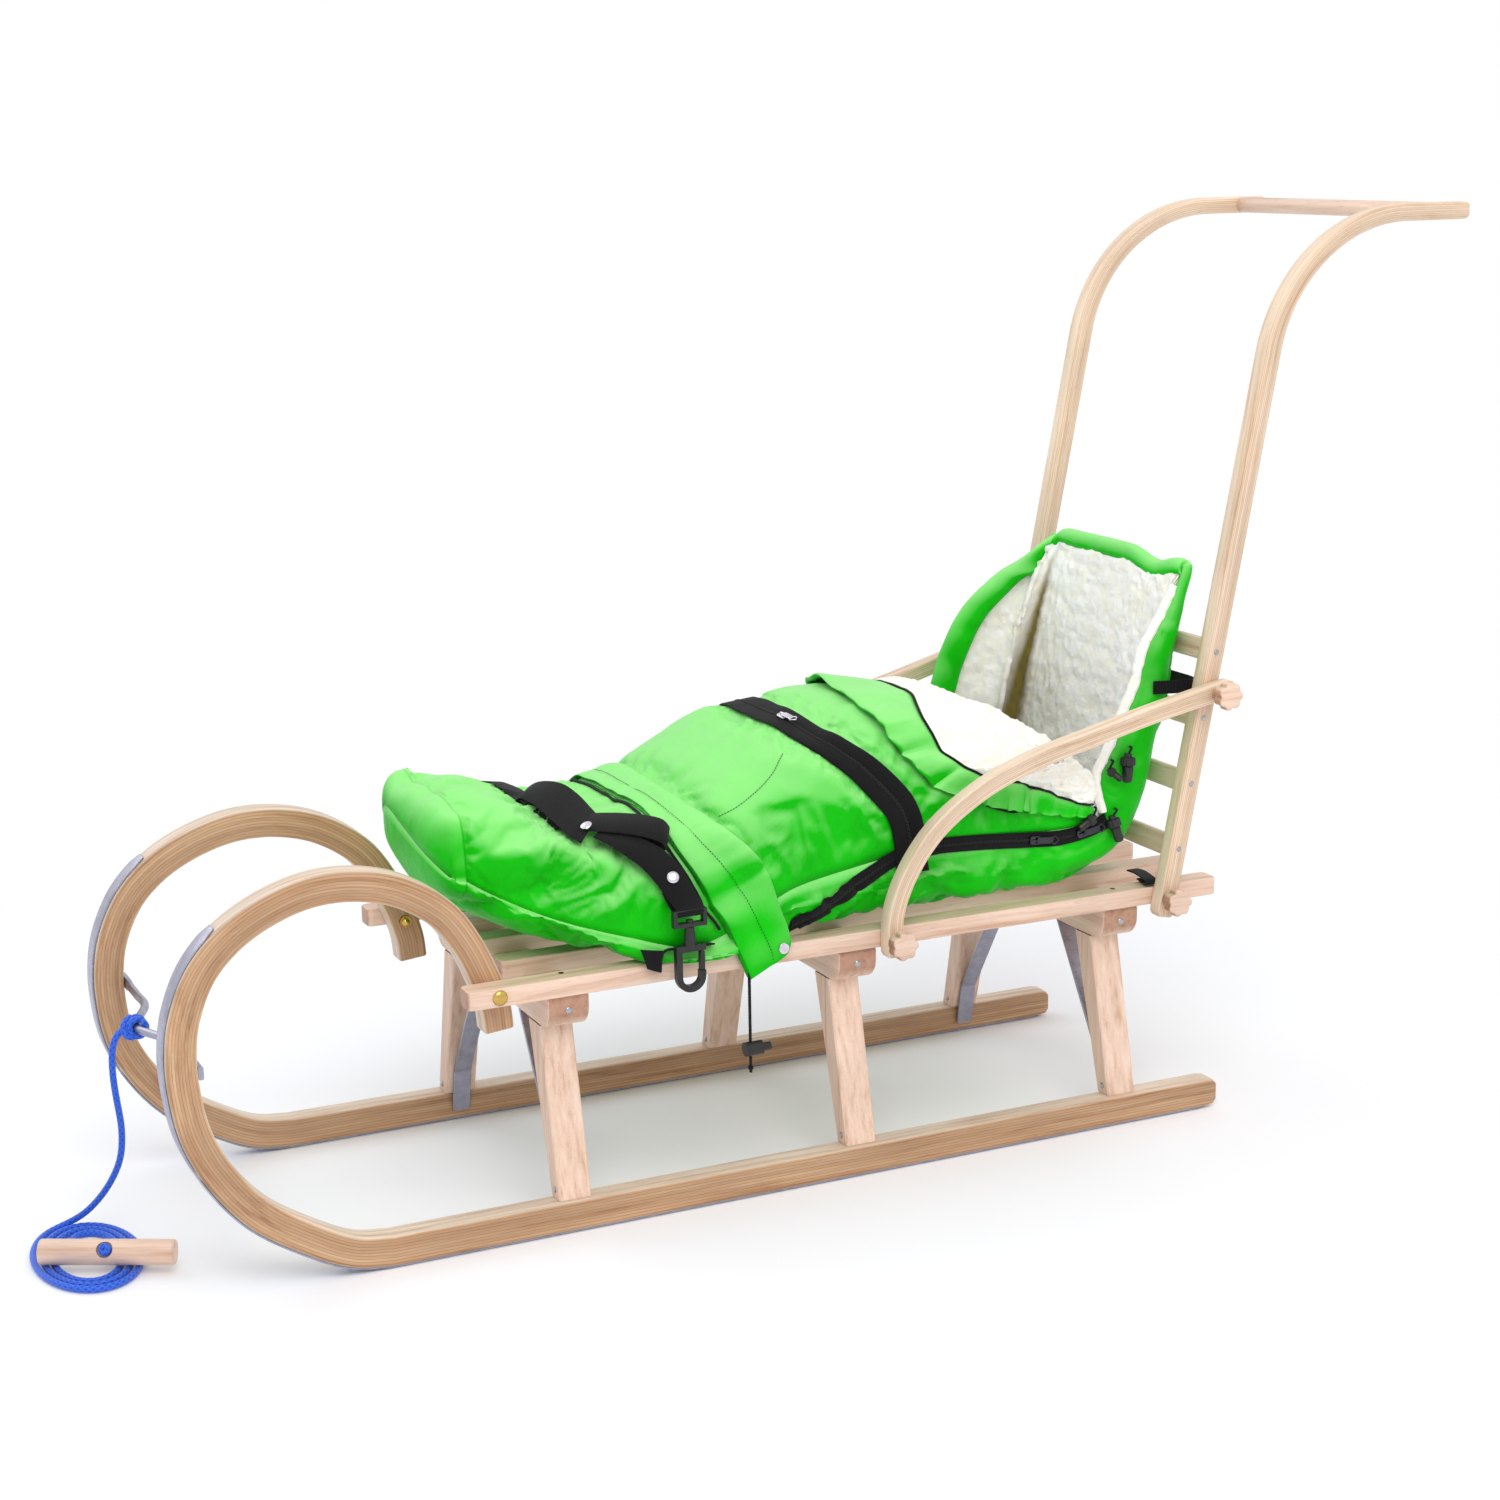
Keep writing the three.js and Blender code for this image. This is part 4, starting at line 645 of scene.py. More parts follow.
def ropeFinish(name, tone, lightTone):
    # Braided rope: each strand's crown is painted lighter, a painted highlight, and raised by the bump;
    # fibres run along the strand.
    material, tree, where = newPaint(name)
    bar = node(tree, "SeparateXYZ", Vector=where["UV"]).outputs
    run = maths(tree, "MULTIPLY_ADD", bar["X"], 150.0, 0.0)
    crowns = []
    for lean in (4.0, -4.0):
        turn = maths(tree, "FRACT", maths(tree, "MULTIPLY_ADD", bar["Y"], lean, run))
        crowns.append(maths(tree, "PINGPONG", turn, 0.5))
    fibres = noise(tree, where["Object"], 1800.0, 3.0)
    level = maths(tree, "MULTIPLY_ADD", fibres, 0.25, maths(tree, "MAXIMUM", *crowns))
    # Painted highlight: the strands' crowns ramp from the dark blue to the light blue.
    colour = ramped(tree, level, (0.25, tone), (0.62, lightTone))
    return painted(material, colour, [(0.7, 0.0006, level)], Roughness=0.62, Sheen_Weight=0.25)


barTones = {"light": (240, 218, 194), "mid": (230, 203, 174), "streak": (206, 171, 138)}
hornTones = {"light": (226, 210, 192), "mid": (209, 184, 159), "streak": (174, 142, 114)}
finishes = {
    "beechX": wood("beechAcross", "X"),
    "beechY": wood("beechLengthwise", "Y"),
    "beechZ": wood("beechUpright", "Z"),
    "hornLaminate": wood("hornLaminate", "X", hornTones, layered=0.0029, sideTone=0.75),
    "barLaminate": wood("barLaminate", "X", barTones, layered=0.0021, sideTone=0.1),
    "knobWood": wood("knobWood", "Y"),
    "toggleWood": wood("toggleWood", "X", tilt=-math.radians(62.5)),
    "steel": metal("zincSteel", (168, 168, 184), 0.36),
    "screwSteel": metal("screwSteel", (176, 176, 182), 0.25),
    "brass": metal("brassPlate", (214, 178, 98), 0.2, 0.06),
    "darkSteel": metal("darkSteel", (70, 70, 76), 0.3),
    "stud": metal("studSilver", (222, 216, 226), 0.16, 0.05),
    # The green's painted highlight on upward faces reaches 0.62 at full.
    "green": weave(
        "coatedGreenCloth", (4, 172, 0), (12, 196, 5), rough=0.45, sheen=0.08, crumple=0.9, paintedTopLight=0.62),
    "fleece": fleeceFinish("curlyFleece", (255, 254, 250), (253, 248, 232)),
    "webbing": ribbed("ribbedWebbing", (12, 12, 14), 0.0016),
    "tape": ribbed("zipTape", (10, 10, 11), 0.0009, rough=0.8),
    "teeth": ribbed("zipTeeth", (26, 26, 28), 0.0016, rough=0.35),
    "plastic": moulded("mouldedBlack", (12, 12, 13)),
    "cord": ribbed("blackCord", (22, 22, 24), 0.002, rough=0.7),
    "rope": ropeFinish("braidedRope", (8, 58, 168), (28, 104, 232)),
}
print("finishes made")

# Pull rope: the source's own route, knotted to the tow bar and coiled on the ground

rope = {
    "diameter": 6.5, "pitch": 8.8, "turns": 3, "start": 235, "end": 265, "side": 58, "long": 85, "braid": 6.7,
    "gap": 0.3, "barHeight": 208,
}
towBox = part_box("tow_bar")
towApex = np.array([0, towBox[0][1] * 1000 - rearToOrigin + 4, rope["barHeight"]])
ropeRoute = [
    [0, -1107, 204], [0, -1111.5, 194], [-1, -1113, 165], [-2, -1111, 140], [-3, -1108, 110],
    [-8, -1110, 80], [-18, -1118, 55], [-33, -1130, 31], [-46, -1143, 14], [-53, -1155, 6],
]
coilTail = [
    [-26.5, -1149, 3.3], [-23, -1156, 3.3], [-15.5, -1160.5, 3.3], [-6, -1160.5, 3.3], [5, -1156, 3.3],
    [17, -1148.5, 3.3], [29, -1140, 3.3], [40, -1133, 4.2],
]
toggle = {"length": 126, "radius": 12, "turn": 62.5, "tilt": 35, "sink": 6, "centre": (64, -1142)}


def coilPoints(turn):
    # Loops on the ground, drawn in evenly: two slanting axes, each shorter by the pitch for each turn.
    radius = rope["diameter"] / 2
    angle = np.radians(rope["start"] - 360 * turn)
    drawn = radius + rope["pitch"] * turn
    side = (rope["side"] - drawn) * np.cos(angle)
    along = (rope["long"] - drawn) * np.sin(angle)
    x, y = 28 + 0.46 * side + 0.979 * along, -1152 + 0.888 * side - 0.206 * along
    return np.stack([x, y, np.full_like(angle, radius)], -1)


def makeRope():
    radius = rope["diameter"] / 2
    knotRadius = 4 / math.cos(math.pi / 8) + rope["gap"] + radius
    first = towApex - [0, knotRadius + radius + rope["gap"], 0]
    second = first - [0, radius, 0]
    sweepTurns = rope["turns"] - (rope["end"] - rope["start"]) / 360
    loops = coilPoints(np.linspace(0, sweepTurns, 260))
    heading = unit(coilPoints(np.array([1 / 96.0]))[0] - loops[0])
    turn, tilt = math.radians(toggle["turn"]), math.radians(toggle["tilt"])
    hole = np.array([math.sin(turn) * math.cos(tilt), -math.cos(turn) * math.cos(tilt), math.sin(tilt)])
    middle = np.array([*toggle["centre"], rope["diameter"] + toggle["radius"] + rope["gap"]])
    mouth = middle - hole * (toggle["radius"] + rope["diameter"])
    free = spline([first, second, *ropeRoute, loops[0] - heading * 7.1, loops[0] - heading * 0.6], 240)
    coarse = coilPoints(np.linspace(0, sweepTurns, int(round(sweepTurns * 24)) + 1))
    tail = spline([coarse[-2], coarse[-1], *coilTail, mouth, middle - hole * toggle["radius"]], 160)
    tail = tail[np.argmin(np.linalg.norm(tail - coarse[-1], axis=1)) + 1:]
    base = toggle["radius"] - toggle["sink"] + rope["gap"]
    end = middle + hole * base
    path = evenly(np.concatenate([free, loops, tail, [end]]), 1.3)
    soften(path, 60)

    def braid(run, angle):
        # Sixteen strands, half of them winding each way, stand out where they cross on top.
        lean = np.cos(run * 1000 / rope["braid"] * 2 * math.pi + angle * 4)
        back = np.cos(run * 1000 / rope["braid"] * 2 * math.pi - angle * 4)
        return 0.00016 * np.maximum(lean, back) - 0.00018

    metres = place(path)
    piece = tube("pullRopeBraid", metres, radius / 1000, sides=24, relief=braid)
    dress(piece, "rope", stands=("pull_rope", "rope_coil"))
    length = lengths(metres)[-1]

    # the knot on the bar: two turns round it and a tuck over the front
    helix = np.linspace(0, 2 * math.pi * 2.1, 120)
    around = knotRadius - 0.25
    sideways = (helix / (2 * math.pi) - 1.05) * rope["braid"]
    y, z = towApex[1] + around * np.cos(helix + 0.4), rope["barHeight"] + around * np.sin(helix + 0.4)
    coil = np.stack([sideways, y, z], 1)
    turnsRound = tube("knotTurns", place(coil), radius / 1000, sides=20, relief=braid)
    keys = [(-7.5, -3, 216), (-4, -8.5, 214.5), (1, -13, 209), (5, -10.5, 202), (4, -4, 199.5)]
    tuck = spline([(x, towApex[1] + y, z) for x, y, z in keys], 60)
    tucked = tube("knotTuck", place(tuck), radius / 1000 * 0.92, sides=20, relief=braid)
    knot = joined("ropeKnot", [turnsRound, tucked])
    dress(knot, "rope", stands=("rope_knot",))

    # stopper knot in the sunk hole
    angles = np.linspace(0, 2 * math.pi * 2.2, 110)
    side = unit(np.cross(hole, (0, 0, 1)))
    other = np.cross(hole, side)
    ball = 3.3
    rise = base + 4 + 2.1 * np.sin(angles * 0.5)[:, None]
    wrap = middle + hole * rise + side * (ball * np.cos(angles))[:, None]
    wrap = wrap + other * (ball * np.sin(angles))[:, None]
    stopper = tube("stopperKnot", place(wrap), 0.0028, sides=16, relief=braid)
    dress(stopper, "rope")

    # the turned grip with its cross hole and sink
    axis = np.array([math.cos(turn), math.sin(turn), 0])
    half, edge = toggle["length"] / 2000, 0.0022
    bend = np.linspace(0, math.pi / 2, 5)
    grip = toggle["radius"] / 1000
    profile = [(-half + edge * (1 - math.cos(b)), grip - edge * (1 - math.sin(b))) for b in bend]
    profile += [(half - edge * (1 - math.cos(b)), grip - edge * (1 - math.sin(b))) for b in bend[::-1]]
    centre = place(middle)
    handle = lathe("toggleGrip", profile, centre, axis, sides=72)
    bore = lathe("boreCutter", [(-0.03, 0.004), (0.03, 0.004)], centre, hole, sides=40)
    sunk = lathe(
        "sinkCutter", [(grip - 0.006, 0.0072), (grip - 0.0052, 0.0076), (0.03, 0.0078)], centre, hole,
        sides=48)
    for cutter in (bore, sunk):
        trim = handle.modifiers.new("hole", "BOOLEAN")
        trim.object, trim.operation, trim.solver = cutter, "DIFFERENCE", "EXACT"
        bpy.context.view_layer.update()
        mesh = bpy.data.meshes.new_from_object(handle.evaluated_get(bpy.context.evaluated_depsgraph_get()))
        handle.modifiers.clear()
        handle.data = mesh
        bpy.data.objects.remove(cutter)
    mesh.polygons.foreach_set("use_smooth", np.full(len(mesh.polygons), True))
    mesh.set_sharp_from_angle(angle=math.radians(34))
    dress(handle, "toggleWood", stands=("toggle_handle",))
    return length


print("rope %.3f m" % makeRope())

# Runners with curled horns, and their steel shoes

sled = {
    "trackHalf": 181, "runnerWidth": 25, "runnerThickness": 29, "runnerBase": 2.3, "hornStart": 905,
    "hornHeight": 370, "hornEndDrop": 41.55, "length": 1100, "slatMid": 237.85, "seatHalf": 165.75,
    "slatWidth": 25.5, "gap": 0.3}
hornShares = [
    [0, 0, 0], [0.2, 0.016, 0.02], [0.436, 0.078, 0.06], [0.68, 0.168, 0.15], [0.856, 0.285, 0.26],
    [0.958, 0.4, 0.37], [1, 0.53, 0.48], [1, 0.625, 0.56], [0.968, 0.7135, 0.64], [0.87, 0.823, 0.73],
    [0.715, 0.906, 0.8], [0.51, 0.966, 0.86], [0.283, 1, 0.91], [0.051, 1, 0.945],
]
hornTipShares = [
    [-0.19, 0.9255, 0.975], [-0.415, 0.7553, 0.995], [-0.54, 0.5596, 1], [-0.632, 0.3362, 1],
    [-0.685, 0.1489, 1], [-0.7, 0, 1]]


def hornPath():
    # The runner's middle line forwards, up, back and down again, leaning in towards the seat.
    middle = sled["runnerBase"] + sled["runnerThickness"] / 2
    reach = sled["length"] - sled["hornStart"] - middle
    rise = sled["hornHeight"] - sled["runnerThickness"] / 2 - middle
    lean = sled["trackHalf"] - (sled["seatHalf"] - sled["slatWidth"] - sled["gap"])
    endShare = (sled["slatMid"] - sled["hornEndDrop"] - middle) / rise
    shares = np.array(hornShares + [[r, endShare + (1 - endShare) * h, n] for r, h, n in hornTipShares])
    centre = sled["trackHalf"] - sled["runnerWidth"] / 2
    x, y = centre - lean * shares[:, 2], -sled["hornStart"] - reach * shares[:, 0]
    return spline(np.stack([x, y, middle + rise * shares[:, 1]], 1), 420)


def screwHead(at, axis, radius):
    # A screw's shallow dome.
    dome = [(-0.0006, 1), (0.0003, 1), (0.0008, 0.86), (0.0011, 0.5), (0.0012, 0.12)]
    return lathe("screw", [(height, radius * share) for height, share in dome], at, axis, sides=22)


def makeRunners():
    horn = hornPath()
    middle = horn[0, 2]
    rear = np.array([[horn[0, 0], y, middle] for y in np.linspace(0, -sled["hornStart"], 180)[:-1]])
    path = evenly(np.concatenate([rear, horn]), 4.0)
    toEnd = np.abs(path[:, 1])
    taper = np.where((np.arange(len(path)) < 6), np.interp(toEnd, [0, 3.6, 12], [0.72, 0.9, 1]), 1)
    left = uprightBar("runnerBent_left", place(path), 0.0125, 0.0145, 0.0024, taper=taper)
    dressPair(left, "hornLaminate", "runner")

    used = horn[: int(420 * 22 / 42) + 1]
    shoePath = evenly(np.concatenate([rear[rear[:, 1] < -6], used]), 4.0)
    narrow = np.interp(
        np.arange(len(shoePath)), [0, 3, len(shoePath) - 4, len(shoePath) - 1], [0.66, 1, 1, 0.66])
    left = uprightBar("shoeSteel_left", place(shoePath), 0.0102, 0.001, 0.0006, offset=0.0158, narrow=narrow)
    heads = []
    out = unit(np.gradient(shoePath, axis=0) * [0, 1, 1])
    out = np.stack([out[:, 0], -out[:, 2], out[:, 1]], 1)
    spots = [4, len(shoePath) - 5, len(shoePath) - 40] + list(range(60, len(shoePath) - 60, 46))
    for spot in spots:
        heads.append(screwHead(place(shoePath[spot] + out[spot] * 15.65), out[spot], 0.0033))
    left = joined("shoeSteel_left", [left, *heads])
    dressPair(left, "steel", "runner_shoe")


makeRunners()
print("runners and shoes made")

# Cross beams, slats, dowel and tow bar

beamRows = (-115, -419.3, -723.6)


def boardLike(nodeName, name, finish, plane, corners, edge, depthAxis):
    # A board of the CAD node's own box, with round corners in its outline.
    low, high = (np.array(v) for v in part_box(nodeName))
    first, second = {"xy": (0, 1), "xz": (0, 2)}[plane]
    outline = roundOutline(low[first], high[first], low[second], high[second], corners)
    piece = slab(name, outline, plane, low[depthAxis], high[depthAxis], edge)
    return dress(piece, finish, stands=(nodeName,))


for row in ("rear", "middle", "front"):
    boardLike(
        "crossbeam_" + row, "beamRounded_" + row, "beechX", "xz", (0.021, 0.021, 0.004, 0.004),
        0.0022, 1)
for slat in ("outer_left", "outer_right", "inner_left", "inner_right", "middle"):
    boardLike("seat_slat_" + slat, "slat_" + slat, "beechY", "xy", (0.006,) * 4, 0.0016, 2)
for row in ("rear", "middle", "front"):
    for side in ("left", "right"):
        coat(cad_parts[f"leg_{row}_{side}"], "beechZ")
        if row != "middle":
            coat(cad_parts[f"brace_{row}_{side}"], "steel")
for level in ("lowest", "lower", "upper", "top"):
    coat(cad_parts["back_slat_" + level], "beechX")


def makeTowBar():
    # A rod kinked forwards in the middle, its ends pressed flat: squarer and thinner towards the ends.
    low, high = (np.array(v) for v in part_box("tow_bar"))
    rod = 0.004
    apexY = low[1] + rod
    rootY = apexY + 0.022
    reach = high[0]
    keys = [
        (-reach, rootY), (-0.06 - 0.035, rootY), (-0.06, rootY - 0.0006), (-0.009, apexY + 0.0006),
        (0, apexY)]
    keys += [(0.009, apexY + 0.0006), (0.06, rootY - 0.0006), (0.095, rootY), (reach, rootY)]
    line = evenly(spline([(x, y, 0.208) for x, y in keys], 160), 0.0025)
    share = np.clip((np.abs(line[:, 0]) - (reach - 0.036)) / 0.014, 0, 1)
    share = share * share * (3 - 2 * share)
    along = unit(np.gradient(line, axis=0))
    across = np.stack([-along[:, 1], along[:, 0], np.zeros(len(line))], 1)
    angle = np.arange(24) * 2 * math.pi / 24
    power = 1 - 0.72 * share[:, None]
    tall = (rod + 0.002 * share)[:, None] * np.sign(np.sin(angle)) * np.abs(np.sin(angle)) ** power
    deep = (rod - 0.0015 * share)[:, None] * np.sign(np.cos(angle)) * np.abs(np.cos(angle)) ** power
    grid = line[:, None] + tall[..., None] * np.array([0, 0, 1.0]) + deep[..., None] * across[:, None]
    piece = surface("towBarRod", grid, around=True, caps=True, sharp=40)
    ends = [(side * (reach - 0.012), rootY + 0.0026, 0.208) for side in (-1, 1)]
    piece = joined("towBarRod", [piece, *(screwHead(end, (0, 1, 0), 0.0042) for end in ends)])
    dress(piece, "steel", stands=("tow_bar",))


makeTowBar()
low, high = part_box("handle_dowel")
profile = [(low[0], 0.0083), (low[0] + 0.0004, 0.0085), (high[0] - 0.0004, 0.0085), (high[0], 0.0083)]
dowel = lathe(
    "dowelTurned", profile, (0, (low[1] + high[1]) / 2, (low[2] + high[2]) / 2), (1, 0, 0), sides=56)
dress(dowel, "beechX", stands=("handle_dowel",))
print("beams, slats and bars made")

# Posts with bent grips, and bent armrests

post = {
    "lean": 11.4, "setback": 66.2, "drop": 20, "bend": 165, "gripReach": 285, "gripHeight": 921.5,
    "depth": 20.5, "gripDepth": 17.8, "width": 17.5, "x": 174.8}
arm = {"width": 17.5, "setback": 384, "drop": 17, "rise": 235, "overhang": 18}
armShares = [
    [1, 1], [0.9, 0.966], [0.76, 0.917], [0.567, 0.839], [0.388, 0.762], [0.244, 0.661], [0.12, 0.516],
    [0.04, 0.339], [0.004, 0.183], [0, 0.08], [0, 0]]


def postY(height):
    return -post["setback"] + (height - sled["slatMid"]) * math.tan(math.radians(post["lean"]))


def endTaper(path, first, second):
    # Shares of a bar's depth, less at the two points nearest to each end.
    step = np.arange(len(path))
    return np.interp(np.minimum(step, step[::-1]), [0, 1, 2], [first, second, 1])


def makePosts():
    lean = math.radians(post["lean"])
    centreZ = post["gripHeight"] - post["bend"]
    startZ = centreZ + post["bend"] * math.sin(lean)
    centreY = postY(startZ) + post["bend"] * math.cos(lean)
    bottom = sled["slatMid"] - post["drop"]
    straight = np.linspace(bottom, startZ, 120)[:-1]
    lower = np.stack([np.full_like(straight, post["x"]), postY(straight), straight], 1)
    angle = np.linspace(lean, math.pi / 2, 60)
    y, z = centreY - post["bend"] * np.cos(angle), centreZ + post["bend"] * np.sin(angle)
    bend = np.stack([np.full_like(angle, post["x"]), y, z], 1)
    end = np.array([[post["x"], post["gripReach"], post["gripHeight"]]])
    path = evenly(np.concatenate([lower, bend, end]), 4.0)
    share = np.clip((path[:, 2] - startZ) / (post["gripHeight"] - startZ), 0, 1) ** 0.7
    deep = (post["depth"] + (post["gripDepth"] - post["depth"]) * share) / 2000
    taper = endTaper(path, 0.82, 0.95)
    left = uprightBar("postBent_left", place(path), post["width"] / 2000, deep, 0.0024, taper=taper)
    dressPair(left, "barLaminate", "handle_post")


def armrestPath():
    base = sled["slatMid"] - arm["drop"]
    top = base + arm["rise"]
    frontX = sled["seatHalf"] + sled["gap"] + arm["width"] / 2
    rearX = sled["seatHalf"] + sled["gap"] + post["width"] + sled["gap"] + arm["width"] / 2
    length = postY(top) + arm["overhang"] + arm["setback"]
    drift = (rearX - frontX) / (postY(top) - post["depth"] / 2 + arm["setback"])
    share = np.array(armShares)
    y = -arm["setback"] + length * share[:, 0]
    x = frontX + np.maximum(y + arm["setback"], 0) * drift
    return spline(np.stack([x, y, base + arm["rise"] * share[:, 1]], 1), 200)


def makeArmrests():
    path = evenly(armrestPath(), 3.5)
    taper = endTaper(path, 0.84, 0.96)
    left = uprightBar("armrestBent_left", place(path), arm["width"] / 2000, 0.00875, 0.0024, taper=taper)
    dressPair(left, "barLaminate", "armrest")


makePosts()
makeArmrests()
print("posts and armrests made")

# Knobs, bolts and screws

knob = {
    "radius": 0.0145, "depth": 0.0022, "count": 7, "power": 1.4, "neck": 0.009, "neckLength": 0.008,
    "backEdge": 0.0022, "faceEdge": 0.0026,
}


def domed(crown, height, radius, start, count):
    # A dome's profile from its crown: along the axis by the cosine, outwards by the sine.
    turns = np.linspace(start, math.pi / 2, count)
    return [(crown + height * (1 - math.cos(turn)), radius * math.sin(turn)) for turn in turns]


def makeKnobs():
    for where in ("post_lower", "arm_front", "arm_rear"):
        low, high = (np.array(v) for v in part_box("knob_" + where + "_left"))
        centre = np.array([0, (low[1] + high[1]) / 2, (low[2] + high[2]) / 2])
        base, face = low[0], high[0]
        neck, neckEnd, radius = knob["neck"], base + knob["neckLength"], knob["radius"]
        profile = [(base, neck - 0.0004, 0), (base + 0.0004, neck, 0)]
        profile += [(neckEnd - 0.0012, neck, 0), (neckEnd - 0.0003, neck + 0.0007, 0.1)]
        for turn in np.linspace(0, math.pi / 2, 6):
            rise = math.sin(turn)
            profile.append((
                neckEnd + knob["backEdge"] * rise, radius - knob["backEdge"] * (1 - rise), 0.6 + 0.4 * rise))
        edge = knob["faceEdge"]
        for turn in np.linspace(0, math.pi / 2, 7):
            profile.append((face - edge + edge * math.sin(turn), radius - edge * (1 - math.cos(turn)), 1))
        profile += [(face, radius * 0.6, 0.5), (face, radius * 0.3, 0.1)]
        left = lathe("knobTurned_" + where + "_left", profile, centre, (1, 0, 0), sides=112, lobes=knob)
        dressPair(left, "knobWood", "knob_" + where, moves=True)
        low, high = (np.array(v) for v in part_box("bolt_" + where + "_left"))
        dome = domed(low[0], 0.0036, 0.0075, 0.12, 9)
        shank = [(low[0] + 0.0038, 0.0074), (low[0] + 0.0038, 0.003), (high[0], 0.003)]
        left = lathe("boltDomed_" + where + "_left", dome + shank, centre, (1, 0, 0), sides=36)
        dressPair(left, "screwSteel", "bolt_" + where)
    low, high = (np.array(v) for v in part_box("horn_bolt_left"))
    centre = np.array([0, (low[1] + high[1]) / 2, (low[2] + high[2]) / 2])
    outside = sled["seatHalf"] / 1000 + 0.0003
    dome = domed(high[0], -0.0036, 0.0073, 0.12, 10)
    nut = domed(low[0], 0.0046, 0.0046, 0.15, 8)
    nutBase = low[0] + 0.008
    shank = [(nutBase - 0.0034, 0.006), (nutBase - 0.0003, 0.006), (nutBase, 0.0058), (nutBase, 0.003)]
    shank += [(outside, 0.003), (outside, 0.0073)]
    left = lathe("hornBoltDomed_left", nut + shank + dome[::-1], centre, (1, 0, 0), sides=48)
    dressPair(left, "brass", "horn_bolt")


def makeScrews():
    # Screws in the beams' ends, the legs' feet and the posts behind the backrest.
    heads = []
    for row in beamRows:
        for side in (-1, 1):
            heads.append(screwHead(place([side * 162.1, row + 4, 214]), (side, 0, 0), 0.0034))
            heads.append(screwHead(place([side * 163.5, row - 16.9, 40]), (0, -1, 0), 0.003))
    for height in (289.25, 356.25, 423.25, 490.25):
        x = post["x"] + post["width"] / 2 + 0.1
        for side in (-1, 1):
            heads.append(screwHead(place([side * x, postY(height), height]), (side, 0, 0), 0.0028))
    piece = joined("screws", heads)
    dress(piece, "screwSteel")


makeKnobs()
makeScrews()
print("knobs, bolts and screws made")

# Footmuff: a lower bag that rises into a hood, and a cover over it, both as grids of points

muff = {
    "front": 828, "length": 848, "half": 160, "base": 247.9, "upperFull": 2.7, "lowerFull": (1.7, 4.2),
    "wide": [
        [0, 0.635], [0.033, 0.675], [0.071, 0.725], [0.11, 0.81], [0.163, 0.94], [0.222, 0.988], [0.281, 1],
        [0.351, 0.988], [0.422, 0.963], [0.505, 0.938], [0.587, 0.931], [0.71, 0.931]],
    "top": [
        [0, 401], [0.033, 402], [0.071, 399], [0.11, 388], [0.163, 376], [0.222, 368], [0.281, 372],
        [0.351, 400], [0.422, 434], [0.505, 447], [0.587, 447], [0.658, 432], [0.72, 422], [0.83, 398]],
    "seam": [
        [0, 334], [0.05, 316], [0.11, 297], [0.163, 284], [0.222, 274], [0.281, 270], [0.351, 284],
        [0.42, 301], [0.55, 316], [0.71, 318], [0.8, 317], [0.83, 321]],
    "rear": 226, "rearSweep": 88, "endDepth": 28, "ridge": (338, 30, -0.2), "drawn": 34,
    "lift": [[-828, 50], [-795, 42], [-742, 23], [-680, 11], [-620, 0]],
}
hoodBack = [
    [-228, 249], [-190, 252], [-152, 260], [-117, 272], [-88, 287], [-68, 310], [-56.5, 345], [-48, 385],
    [-38, 430], [-27.5, 480], [-17, 530], [-9, 566], [-7.5, 575],
]
hoodNear = [
    [-228, 318], [-190, 317], [-152, 319], [-127, 326], [-131, 346], [-133, 366], [-118, 394], [-99, 430],
    [-84, 458], [-72, 490], [-48, 520], [-26, 548], [-14, 566],
]
hoodFar = [
    [-228, 318], [-196, 318], [-172, 322], [-158, 334], [-160, 352], [-163, 376], [-162, 407], [-152, 440],
    [-140, 472], [-118, 506], [-80, 536], [-44, 556], [-16, 570],
]
hoodWide = [
    [149, 149], [149, 149], [149, 149], [150, 148], [151, 146], [151, 145], [150, 144], [148, 142],
    [145, 139], [141, 134], [136, 128], [130, 122], [126, 119],
]


def smoothTable(table):
    # The same table with its corners drawn through a soft curve.
    table = np.asarray(table, float)
    fine = np.linspace(table[0, 0], table[-1, 0], 120)
    value = np.interp(fine, table[:, 0], table[:, 1])
    soften(value, 14)
    return np.stack([fine, value], 1)


for key in ("wide", "top", "seam"):
    muff[key] = smoothTable(muff[key])


def along(name, y):
    return np.interp(
        (np.asarray(y, float) + muff["front"]) / muff["length"], muff[name][:, 0], muff[name][:, 1])


def power(value, exponent):
    return np.sign(value) * np.abs(value) ** exponent


def folds(points, seed, directions, sizes, depths):
    # Long soft folds: noise ridges stretched along a direction, each set with its own size and depth.
    total = np.zeros(points.shape[:-1])
    for k, (direction, size, depth) in enumerate(zip(directions, sizes, depths)):
        ahead = unit(direction)
        side = unit(np.cross(ahead, (0.3, 0.2, 1)))
        other = np.cross(ahead, side)
        bend = softNoise(points / (size * 2.3), seed + 31 * k)
        local = [
            points @ ahead / (size * 3.2), points @ side / size + bend, points @ other / size + bend * 0.6]
        local = np.stack(local, -1)
        ridge = 1 - 2 * np.abs(softNoise(local, seed + 7 * k))
        total += depth * (0.5 * ridge + 0.35 * softNoise(local * 2.1, seed + 11 * k))
    return total


def coverGrid(rows=230, columns=96):
    # Over the seam: x is a power of the cosine, the height above the seam the same power of the sine.
    theta = np.linspace(0, math.pi, columns)
    reach = np.abs(np.cos(theta)) ** (2 / muff["upperFull"])
    rear = -muff["rear"] + muff["rearSweep"] * reach ** 2.2
    y = -muff["front"] + (rear + muff["front"]) * np.linspace(0, 1, rows)[:, None]
    half, seam, top = muff["half"] * along("wide", y), along("seam", y), along("top", y)
    rise = np.sin(theta) ** (2 / muff["upperFull"])
    return np.stack([half * power(np.cos(theta), 2 / muff["upperFull"]), y, seam + (top - seam) * rise], -1)


def threaded(points, steps):
    points = np.asarray(points, float)
    return spline(np.concatenate([points, np.zeros((len(points), 1))], 1), steps)[:, :2]


